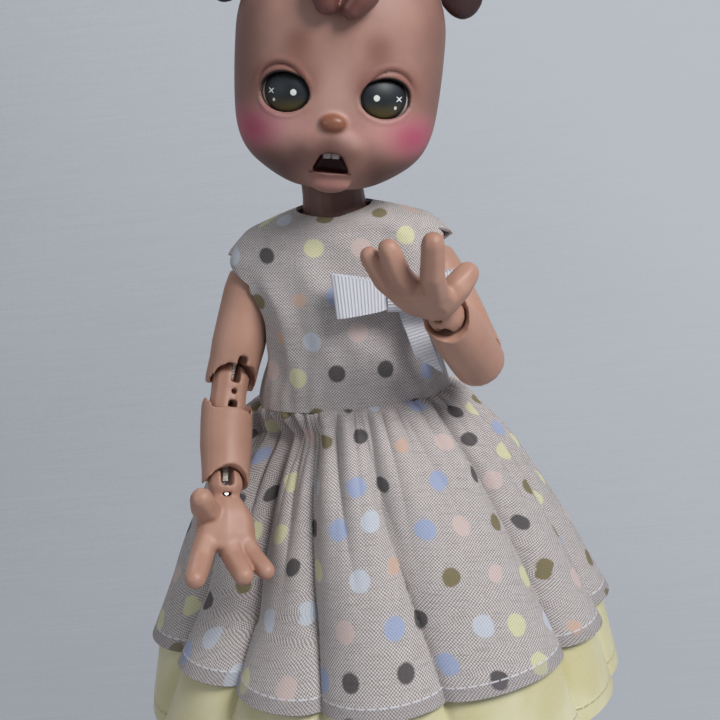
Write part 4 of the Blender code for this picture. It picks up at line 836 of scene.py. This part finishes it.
for side, node_name in ((-1, "ear_right"), (1, "ear_left")):
    leaf = lump((0, 0, 0), (1, 1, 1))
    for v in leaf.data.vertices:
        along = (1 - v.co.z) / 2
        round_ = max(math.hypot(v.co.x, v.co.y), 1e-6)
        wide = ear_width(along) * 0.0058 * min(1.0, round_ * 3 + along)
        bend = along * math.pi / 2
        ahead = Vector((0.0095 * math.cos(bend), 0, -0.0256 * along)).normalized()
        across = Vector((0, 1, 0)).cross(ahead)
        cup = 0.0010 * (1 - (v.co.x / round_) ** 2) * (v.co.y < 0) * math.sin(along * math.pi)
        v.co = (
            Vector((0.0182 + 0.0095 * math.sin(bend), 0, 0.0515 - 0.0128 * along * along))
            + across * (v.co.x / round_ * wide)
            + Vector((0, v.co.y / round_ * 0.0019 * min(1.0, round_ * 2) + cup, 0))
        )
    softened(leaf, 0.00040, 8)
    if side < 0:
        leaf.data.transform(Matrix.Scale(-1, 4, (1, 0, 0)))
        leaf.data.flip_normals()
    carve(leaf, head_form("ear_keep", -0.0002))
    leaf.data.transform(head_place)
    leaf.name = node_name + "_cast"
    shaded(leaf, 50)
    stands_for(leaf, dark_resins["ear"], node_name)

# Each lock runs over the crown and down the front, and its tip curls under.
locks = (
    (((-0.2, -5.0, 58.2), (-0.9, -13.5, 55.4), (-2.0, -21.5, 50.0), (-3.2, -25.4, 45.6), (-3.4, -26.9, 42.6),
      (-3.0, -27.2, 40.5)), (1.8, 2.8, 3.6, 3.9, 3.6, 2.9)),
    (((0.6, -5.0, 58.3), (2.6, -13.5, 55.4), (5.2, -21.0, 50.2), (5.6, -25.2, 46.0), (4.6, -27.1, 42.4),
      (2.6, -27.6, 39.6)), (1.8, 2.7, 3.5, 3.8, 3.5, 2.7)),
    (((1.0, -4.0, 58.2), (5.6, -12.0, 55.4), (9.0, -18.5, 51.2), (9.9, -22.8, 47.2)), (1.7, 2.4, 2.8, 2.0)),
    (((-0.8, -4.0, 58.2), (-4.8, -12.0, 55.6), (-8.2, -18.6, 51.4), (-8.9, -22.8, 47.4)), (1.7, 2.4, 2.8, 2.0)),
)
lock_pieces = []
for points, sizes in locks:
    beads = through([(*point, size) for point, size in zip(points, sizes)], 6) / 1000
    rings = []
    for k, (x, y, z, size) in enumerate(beads):
        ahead = Vector(beads[min(k + 1, len(beads) - 1)][:3]) - Vector(beads[max(k - 1, 0)][:3])
        across = ahead.cross(Vector((0, 1, 1))).normalized()
        other = ahead.cross(across).normalized()
        rings.append((Vector((x, y, z)), size, across, other, ahead.normalized()))
    for tip, way in ((rings[-1], 1), (rings[0], -1)):
        dome = [
            (tip[0] + tip[4] * way * tip[1] * math.sin(a), tip[1] * math.cos(a), *tip[2:])
            for a in np.radians((25, 50, 70, 84, 89.5))
        ]
        rings = rings + dome if way > 0 else dome[::-1] + rings
    tube = bmesh.new()
    rows = [
        [tube.verts.new(at + (across * math.cos(a) + other * math.sin(a)) * size)
         for a in np.radians(np.arange(0, 360, 12))]
        for at, size, across, other, _ in rings
    ]
    for one, two in zip(rows, rows[1:]):
        for k in range(30):
            tube.faces.new((one[k], one[(k + 1) % 30], two[(k + 1) % 30], two[k]))
    tube.faces.new(rows[0][::-1])
    tube.faces.new(rows[-1])
    bmesh.ops.recalc_face_normals(tube, faces=tube.faces)
    mesh = bpy.data.meshes.new("lock")
    tube.to_mesh(mesh)
    tube.free()
    lock_pieces.append(linked("lock", mesh))
forelock = united(*lock_pieces)
softened(forelock, 0.00040, 5)
carve(forelock, head_form("lock_keep", -0.0002))
forelock.name = "forelock_cast"
forelock.data.transform(head_place)
shaded(forelock, 50)
stands_for(forelock, dark_resins["forelock"], "forelock")


# Bodice.
# Printed linen, cut with a round neck and wide armholes, its edges turned under. It slips over the
# head and closes behind, and the gathered skirt is sewn to its waist.
def sheet_of(name, rows, charts, closed=True):
    """A sheet of cloth through a grid of points, charted by its flat cut in centimetres."""
    down, around = len(rows), len(rows[0])
    mesh = bpy.data.meshes.new(name)
    faces, corners = [], []
    for i in range(down - 1):
        for j in range(around if closed else around - 1):
            n = (j + 1) % around
            faces.append((i * around + j, i * around + n, (i + 1) * around + n, (i + 1) * around + j))
            corners.append(((i, j), (i, j + 1), (i + 1, j + 1), (i + 1, j)))
    mesh.from_pydata([tuple(p) for row in rows for p in row], [], faces)
    chart = mesh.uv_layers.new(name="cut")
    k = 0
    for face_corners in corners:
        for i, j in face_corners:
            chart.data[k].uv = charts(i, j)
            k += 1
    return all_faces(linked(name, mesh), bpy.ops.mesh.normals_make_consistent, inside=False)


def run_of(points):
    """How far along a line of points each one lies, in metres."""
    steps = np.linalg.norm(np.diff(np.array(points), axis=0), axis=1)
    return np.concatenate(((0.0,), np.cumsum(steps)))


waist_height, bodice_top, waist_half_wide, waist_half_deep = 0.1465, 0.1920, 0.0235, 0.0190
bodice_rows = (
    (1.015, 0.390, 0.450), (0.990, 0.560, 0.560), (0.960, 0.740, 0.610), (0.925, 0.920, 0.640),
    (0.885, 1.010, 0.660), (0.845, 1.080, 0.680), (0.805, 1.135, 0.700), (0.750, 1.155, 0.730),
    (0.640, 1.090, 0.800), (0.480, 0.940, 0.880), (0.330, 0.850, 0.940), (0.220, 0.870, 0.970),
    (0.120, 0.940, 0.990), (0.000, 1.000, 1.000),
)
bodice_grid = []
columns = 240
for share, wide, deep in through(bodice_rows, 5):
    row = []
    for k in range(columns):
        a = 2 * math.pi * k / columns + math.pi / 2
        c, s = math.cos(a), math.sin(a)
        near_waist = math.exp(-share / 0.16) * min(1.0, share / 0.05)
        crush = 0.00030 * near_waist * math.sin(26 * a + 1.6 * math.sin(3 * a))
        at = Vector((c * 1.4, s * 1.4, share * 1.6 + c * 0.8)) * 2.2
        crush += 0.0013 * noise.noise(at) * min(1.0, share * 5) * min(1.0, max(0.0, 1 - share) * 8)
        x = math.copysign(abs(c) ** (2 / 2.2), c) * (waist_half_wide * wide + crush)
        y = math.copysign(abs(s) ** (2 / 2.2), s) * (waist_half_deep * deep + crush)
        row.append((x, y, waist_height + (bodice_top - waist_height) * share))
    bodice_grid.append(row)
bodice_across = [run_of(row + row[:1]) for row in bodice_grid]
bodice_down = run_of([np.mean(np.abs(row), axis=0) for row in bodice_grid])
bodice = sheet_of(
    "linen_bodice", bodice_grid,
    lambda i, j: ((bodice_across[i][j] - bodice_across[i][columns // 2]) * 100, -bodice_down[i] * 100),
)
applied(bodice, "SOLIDIFY", thickness=0.0008, offset=-1)
carve(bodice, lump((0, -0.0026, bodice_top + 0.0004), (0.0090, 0.0088, 0.0060)))
for side in (-1, 1):
    deselect()
    bpy.ops.mesh.primitive_cylinder_add(
        vertices=64, radius=0.0108, depth=0.032, rotation=(0, math.radians(90), 0),
        location=(side * (0.0215 + 0.016), 0, 0),
    )
    armhole = bpy.context.object
    bpy.ops.object.transform_apply(location=True, rotation=True, scale=True)
    armhole.data.transform(Matrix.Translation((0, 0, 0.1715)) @ Matrix.Diagonal((1, 0.95, 1.06, 1)))
    carve(bodice, armhole)
    shoulder_x, swing, lift = arm_pose["right" if side < 0 else "left"][:3]
    deselect()
    bpy.ops.mesh.primitive_cylinder_add(vertices=48, radius=0.0075, depth=0.030, location=(0, 0, -0.015))
    sleeve_room = bpy.context.object
    bpy.ops.object.transform_apply(location=True, rotation=True, scale=True)
    shoulder = Matrix.Translation((shoulder_x, 0, shoulder_height))
    sleeve_room.data.transform(shoulder @ rolled("X", swing) @ rolled("Y", lift))
    carve(bodice, sleeve_room)
shaded(bodice, 60)


def printed_linen(name):
    """Taupe linen in plain weave with spots in seven soft colours, read from the flat cut in centimetres."""
    linen = Finish(name, Roughness=0.88)
    u, v, _ = linen.chart.parts()
    waver = linen.chart.grain(3.0, 2.0) * 0.05
    warp = ((u + waver) * (27.0 * math.pi)).sine()
    weft = ((v + waver) * (27.0 * math.pi)).sine()
    weave = (warp * weft).over(-0.60, 0.60)
    slub_along = linen.chart.stretched((2.0, 30.0, 1)).grain(1.0, 3.0, 0.6)
    slub_down = linen.chart.stretched((30.0, 2.0, 1)).grain(1.0, 3.0, 0.6)
    yarn = weave.colour(paint(132, 122, 121), paint(218, 212, 209))
    yarn = (slub_along.over(0.45, 0.75) * 0.40).colour(yarn, paint(118, 104, 102))
    yarn = (slub_down.over(0.50, 0.80) * 0.40).colour(yarn, paint(220, 212, 205))
    row = (v / 1.02).whole()
    lag = row.node("TexWhiteNoise", {"noise_dimensions": "1D"}, {"W": row})
    across = u / 1.08 + (row * 0.5 - (row * 0.5).whole()) + lag * 0.20
    column = across.whole()
    cell = linen.chart.node("CombineXYZ", None, {0: column, 1: row, 2: 3.0})
    chance = cell.node("TexWhiteNoise", {"noise_dimensions": "3D"}, {"Vector": cell}, out=1)
    shake_u, shake_v, pick = chance.parts()
    near_u = (across - column - 0.5 + (shake_u - 0.5) * 0.34) * 1.08
    near_v = (v / 1.02 - row - 0.5 + (shake_v - 0.5) * 0.34) * 1.02
    smaller = pick.over(0.29, 0.28) * 0.035 + pick.over(0.91, 0.92) * 0.055
    away = (near_u ** 2.0 + near_v ** 2.0).root() + smaller + linen.chart.grain(11.0, 2.0) * 0.03
    dye = pick.node("ValToRGB", {"stops": (
        (0.00, paint(44, 42, 46)), (0.15, paint(112, 100, 48)), (0.29, paint(218, 217, 172)),
        (0.50, paint(202, 209, 220)), (0.70, paint(158, 173, 208)), (0.79, paint(212, 190, 184)),
        (0.92, paint(210, 176, 156)),
    )}, {"Fac": pick})
    spot_mask = away.over(0.282, 0.222) * (0.62 + weave * 0.32)
    linen.feed("Base Color", spot_mask.colour(yarn, dye))
    linen.relief(weave * 0.6 + slub_along * 0.5 + slub_down * 0.5, 0.00008)
    return linen


linen = printed_linen("printed_linen")
stands_for(bodice, linen.material, "dress_bodice")


# Skirt.
# The same linen, its halves cut as parts of a ring, gathered tightly into the waist seam and hemmed
# with one row of white stitches. The right hand lies on it and presses it in.
gathers = through((
    (0.00, 0.000), (0.03, 0.055), (0.12, 0.175), (0.27, 0.370), (0.415, 0.515), (0.61, 0.700),
    (0.80, 0.845), (1.00, 1.000),
), 6)
skirt_top, skirt_hem, skirt_hem_radius = 0.1474, 0.0900, 0.0575
skirt_span = skirt_top - skirt_hem
skirt_fold, cone = 0.0062, 0.45


def dent(angle, drop):
    """How far the right arm presses the cloth in at this angle and this share of the drop."""
    off = (math.degrees(angle) % 360 - 225.0) / 54.0
    if abs(off) >= 1:
        return 0.0
    fade = min(1.0, drop * 8) * max(0.0, min(1.0, (1.25 - drop) * 2))
    return 0.0105 * math.cos(off * math.pi / 2) ** 2 * fade


def pleat(angle, sharp):
    """Round ridges with a narrow crease between them, 1 on a ridge and 0 in a crease."""
    return abs(math.cos(angle)) ** sharp


def skirt_point(angle, drop, last, hem_radius, fold, inset, gather):
    """A point of a gathered skirt, drop being 0 at the waist and 1 at the dress's hem."""
    opened = float(np.interp(drop, gathers[:, 0], gathers[:, 1]))
    beyond = max(0.0, drop - 1) / (last - 1) if last > 1 else 0.0
    radius = skirt_hem_radius + (hem_radius - skirt_hem_radius) * beyond
    drawn = angle + 0.25 * max(0.0, 1 - drop) ** 1.2 * math.cos(angle + math.radians(110))
    drawn += 0.06 * math.sin(3 * angle + 0.8) + 0.04 * math.sin(5 * angle + 2.0)
    deep = skirt_fold + (fold - skirt_fold) * beyond
    ease = min(1.0, 0.22 + drop * 1.1)
    wave = deep * ease * (pleat(6 * (drawn + math.radians(85.3)), 0.50) - 0.84)
    begun = min(1.0, drop / 0.035)
    tight = angle + 0.030 * math.sin(5 * angle + 1.0) + 0.022 * math.sin(9 * angle)
    wave += gather * begun * 0.0027 * math.exp(-drop / 0.20) * (pleat(19 * tight, 0.75) - 0.5)
    middle = math.exp(-((drop - 0.22) / 0.28) ** 2)
    wave += gather * begun * 0.0023 * middle * (pleat(12.5 * drawn + 0.9, 0.65) - 0.6)
    less = wave - inset * min(1.0, 0.85 + drop) - dent(angle, drop) - 0.0014 * (1 - min(1.0, drop / 0.02))
    half_x = waist_half_wide + (radius - waist_half_wide) * opened + less
    half_y = waist_half_deep + (radius - waist_half_deep) * opened * (1 + 0.06 * min(1.0, drop)) + less
    front = max(0.0, -math.sin(angle)) ** 1.5 * min(1.0, drop)
    return half_x * math.cos(angle), half_y * math.sin(angle), skirt_top - skirt_span * drop - 0.0024 * front


def skirt_half(name, side, drops, last, hem_radius, fold, inset, gather, steps, wall):
    """One half of a skirt, from its middle front to its middle back, charted as a fan laid flat."""
    start = -math.pi / 2 if side > 0 else math.pi / 2
    angles = [start + math.pi * k / steps for k in range(steps + 1)]
    rows = [[skirt_point(a, d, last, hem_radius, fold, inset, gather) for a in angles] for d in drops]
    runs = [run_of(row) for row in rows]
    opens = np.array([np.interp(d, gathers[:, 0], gathers[:, 1]) for d in drops])
    opens = (waist_half_deep + 0.006 + (skirt_hem_radius - waist_half_deep) * opens) * 1.04
    falls = np.hypot(np.diff(opens), np.diff(drops) * skirt_span)
    climb = np.concatenate(((0.0,), np.cumsum(falls / ((opens[1:] + opens[:-1]) / 2))))
    reach = fan_reach(hem_radius) * np.exp(-cone * (climb[-1] - climb))

    def chart(i, j):
        share = runs[i][j] / runs[i][-1]
        turn = cone * math.pi * (share if side > 0 else 1 - share)
        return side * reach[i] * math.sin(turn), -reach[i] * math.cos(turn)

    made = sheet_of(name, rows, chart, closed=False)
    outward = sum(((p.normal.x * p.center.x + p.normal.y * p.center.y) for p in made.data.polygons), 0.0)
    if outward < 0:
        made.data.flip_normals()
    applied(made, "SOLIDIFY", thickness=wall, offset=-1)
    return shaded(made, 70)


def fan_reach(hem_radius):
    """How far the hem lies from the point of the fan that a skirt is charted on, in centimetres."""
    return hem_radius * 106 / cone


def row_of_stitches(finish, hem_radius, above, thick):
    """Lock stitches along a hem, this far above it, all in centimetres: 1 on the thread."""
    u, v, _ = finish.chart.parts()
    out = (u ** 2.0 + v ** 2.0).root()
    up = fan_reach(hem_radius) - out
    line = abs(up - above).over(thick, thick * 0.5)
    along = u.maths("ARCTAN2", u, v * -1.0) * out
    return line * (along * (2 * math.pi / 0.24)).sine().over(-0.95, -0.70), up


skirt_linen = printed_linen("printed_linen_skirt")
thread, rise = row_of_stitches(skirt_linen, skirt_hem_radius, 0.27, 0.022)
before = Wire(skirt_linen.shader.inputs["Base Color"].links[0].from_socket)
doubled = (rise.over(0.30, 0.27) * 0.30).colour(before, paint(112, 106, 112))
skirt_linen.feed("Base Color", (thread * 0.85).colour(doubled, paint(214, 213, 218)))
rows_down = [0.0, 0.008, 0.016, 0.024, 0.034, 0.046, 0.060, 0.078, 0.098, 0.120, 0.145, 0.172]
rows_down += [0.20 + 0.025 * k for k in range(33)]
for side, name, ball_name in ((1, "left", "hip_ball_left"), (-1, "right", "hip_ball_right")):
    half_skirt = skirt_half(
        "linen_skirt_" + name, side, rows_down, 1.0, skirt_hem_radius, skirt_fold, 0.0, 1.0, 400, 0.0006,
    )
    half_skirt.data.materials.append(skirt_linen.material)
    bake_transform(half_skirt)
    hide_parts("dress_skirt")


# Petticoat.
# Pale yellow cotton sateen, gathered into the same seam, a little longer and wider than the skirt,
# with a narrow stitched hem.
sateen = Finish("yellow_sateen", Roughness=0.55, Sheen_Weight=0.3)
floats = sateen.chart.stretched((90.0, 14.0, 1)).grain(1.0, 2.0)
petticoat_hem, petticoat_radius = 0.0718, 0.0612
petticoat_last = (skirt_top - petticoat_hem) / skirt_span
sateen_colour = floats.over(0.2, 0.8).colour(paint(202, 193, 144), paint(214, 206, 161))
sateen_colour = sateen.chart.grain(0.8, 2.0).over(0.35, 0.75).colour(sateen_colour, paint(220, 214, 178))
hem_sew, hem_rise = row_of_stitches(sateen, petticoat_radius, 0.30, 0.026)
sateen.feed("Base Color", (hem_sew * 0.6).colour(sateen_colour, paint(176, 160, 112)))
sateen.relief(floats * 0.15 + hem_rise.over(0.36, 0.33) * 1.2 - hem_sew, 0.00012)
drops_down = rows_down + [1.0 + (petticoat_last - 1.0) * k / 12 for k in range(1, 13)]
for side, name, ball_name in ((1, "left", "hip_ball_left"), (-1, "right", "hip_ball_right")):
    half_petticoat = skirt_half(
        "sateen_petticoat_" + name, side, drops_down, petticoat_last, petticoat_radius,
        0.0022, 0.0021, 0.0, 240, 0.0005,
    )
    half_petticoat.data.materials.append(sateen.material)
    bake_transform(half_petticoat)
    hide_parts("petticoat")


# Bow.
# White grosgrain ribbon, folded into two loops, wrapped at the middle and pinned to the bodice, with
# two tails cut on the slant. Its ribs run across the ribbon.
grosgrain = Finish("white_grosgrain", Roughness=0.60, Sheen_Weight=0.2)
ribbon_run = grosgrain.chart.parts()[0]
ribs = (ribbon_run * (2 * math.pi * 13.0)).sine().over(-0.9, 0.9)
grosgrain_colour = ribs.colour(paint(210, 210, 218), paint(232, 233, 238))
grosgrain.feed("Base Color", grosgrain_colour)
grosgrain.relief(ribs, 0.00010)
bow_place = Matrix.Translation((0.0128, -0.01567, 0.1730)) @ rolled("Z", 6) @ rolled("Y", 4)
ribbon_half, ribbon_thick, tail_forward = 0.00525, 0.0005, 0.0040
loop_back = -ribbon_thick * 2 - 0.0003 - tail_forward * 0.35


def ribbon(name, line, half_width, rows=9):
    """A strip of ribbon along points that give a place, the half width there and which way is across."""
    grid, run, last = [], [0.0], None
    for place, wide, across in line:
        place, across = Vector(place), Vector(across).normalized()
        if last is not None:
            run.append(run[-1] + (place - last).length)
        last = place
        grid.append([place + across * wide * half_width * (2 * k / (rows - 1) - 1) for k in range(rows)])
    strip = sheet_of(
        name, grid, lambda i, j: (run[i] * 100, half_width * 100 * (2 * j / (rows - 1) - 1)), closed=False,
    )
    applied(strip, "SOLIDIFY", thickness=ribbon_thick, offset=0)
    strip.data.transform(bow_place)
    return shaded(all_faces(strip, bpy.ops.mesh.normals_make_consistent, inside=False), 50)


for side, name in ((-1, "right"), (1, "left")):
    line = []
    for k in range(33):
        a = math.pi * k / 32
        x = 0.0024 + (0.0140 - 0.0024) * math.sin(a) ** 0.85
        y = loop_back - 0.0018 * (1 - math.cos(a)) + 0.0002 * math.sin(3 * a)
        pinch = 0.55 + 0.45 * math.sin(a) ** 0.7
        line.append(((side * x, y, 0.0004 * math.sin(a)), pinch, (0.10 * side * math.sin(a), 0, 1)))
    loop = ribbon("bow_loop_" + name + "_ribbon", line, ribbon_half)
    stands_for(loop, grosgrain.material, "bow_loop_" + name)
    tail_line = []
    way = 1.0 if side > 0 else 0.86
    for k in range(25):
        t = k / 24
        y = -tail_forward * (1.1 * t ** 0.9) - 0.0006 * math.sin(t * 5)
        x, z = 0.0016 + t * 0.0068 * way, -0.0200 * t * way
        tail_line.append(((x, y + 0.0007 * (side < 0), z), 0.44, (1, 0, 0.30)))
    tail = ribbon("bow_tail_" + name + "_ribbon", tail_line, ribbon_half)
    tail_end = bow_place @ Vector((0.0076, 0, -0.0168))
    all_faces(
        tail, bpy.ops.mesh.bisect, plane_co=tail_end, plane_no=(-0.75, 0, -1.0), use_fill=True, clear_outer=True,
    )
    stands_for(tail, grosgrain.material, "bow_tail_" + name)
wrap_line = []
for k in range(33):
    a = 2 * math.pi * k / 32
    wrap_line.append((
        (0, loop_back - 0.0018 + 0.0024 * math.cos(a), 0.0036 * math.sin(a)), 0.40, (1, 0, 0),
    ))
wrap = ribbon("bow_knot_ribbon", wrap_line, ribbon_half)
stands_for(wrap, grosgrain.material, "bow_knot")
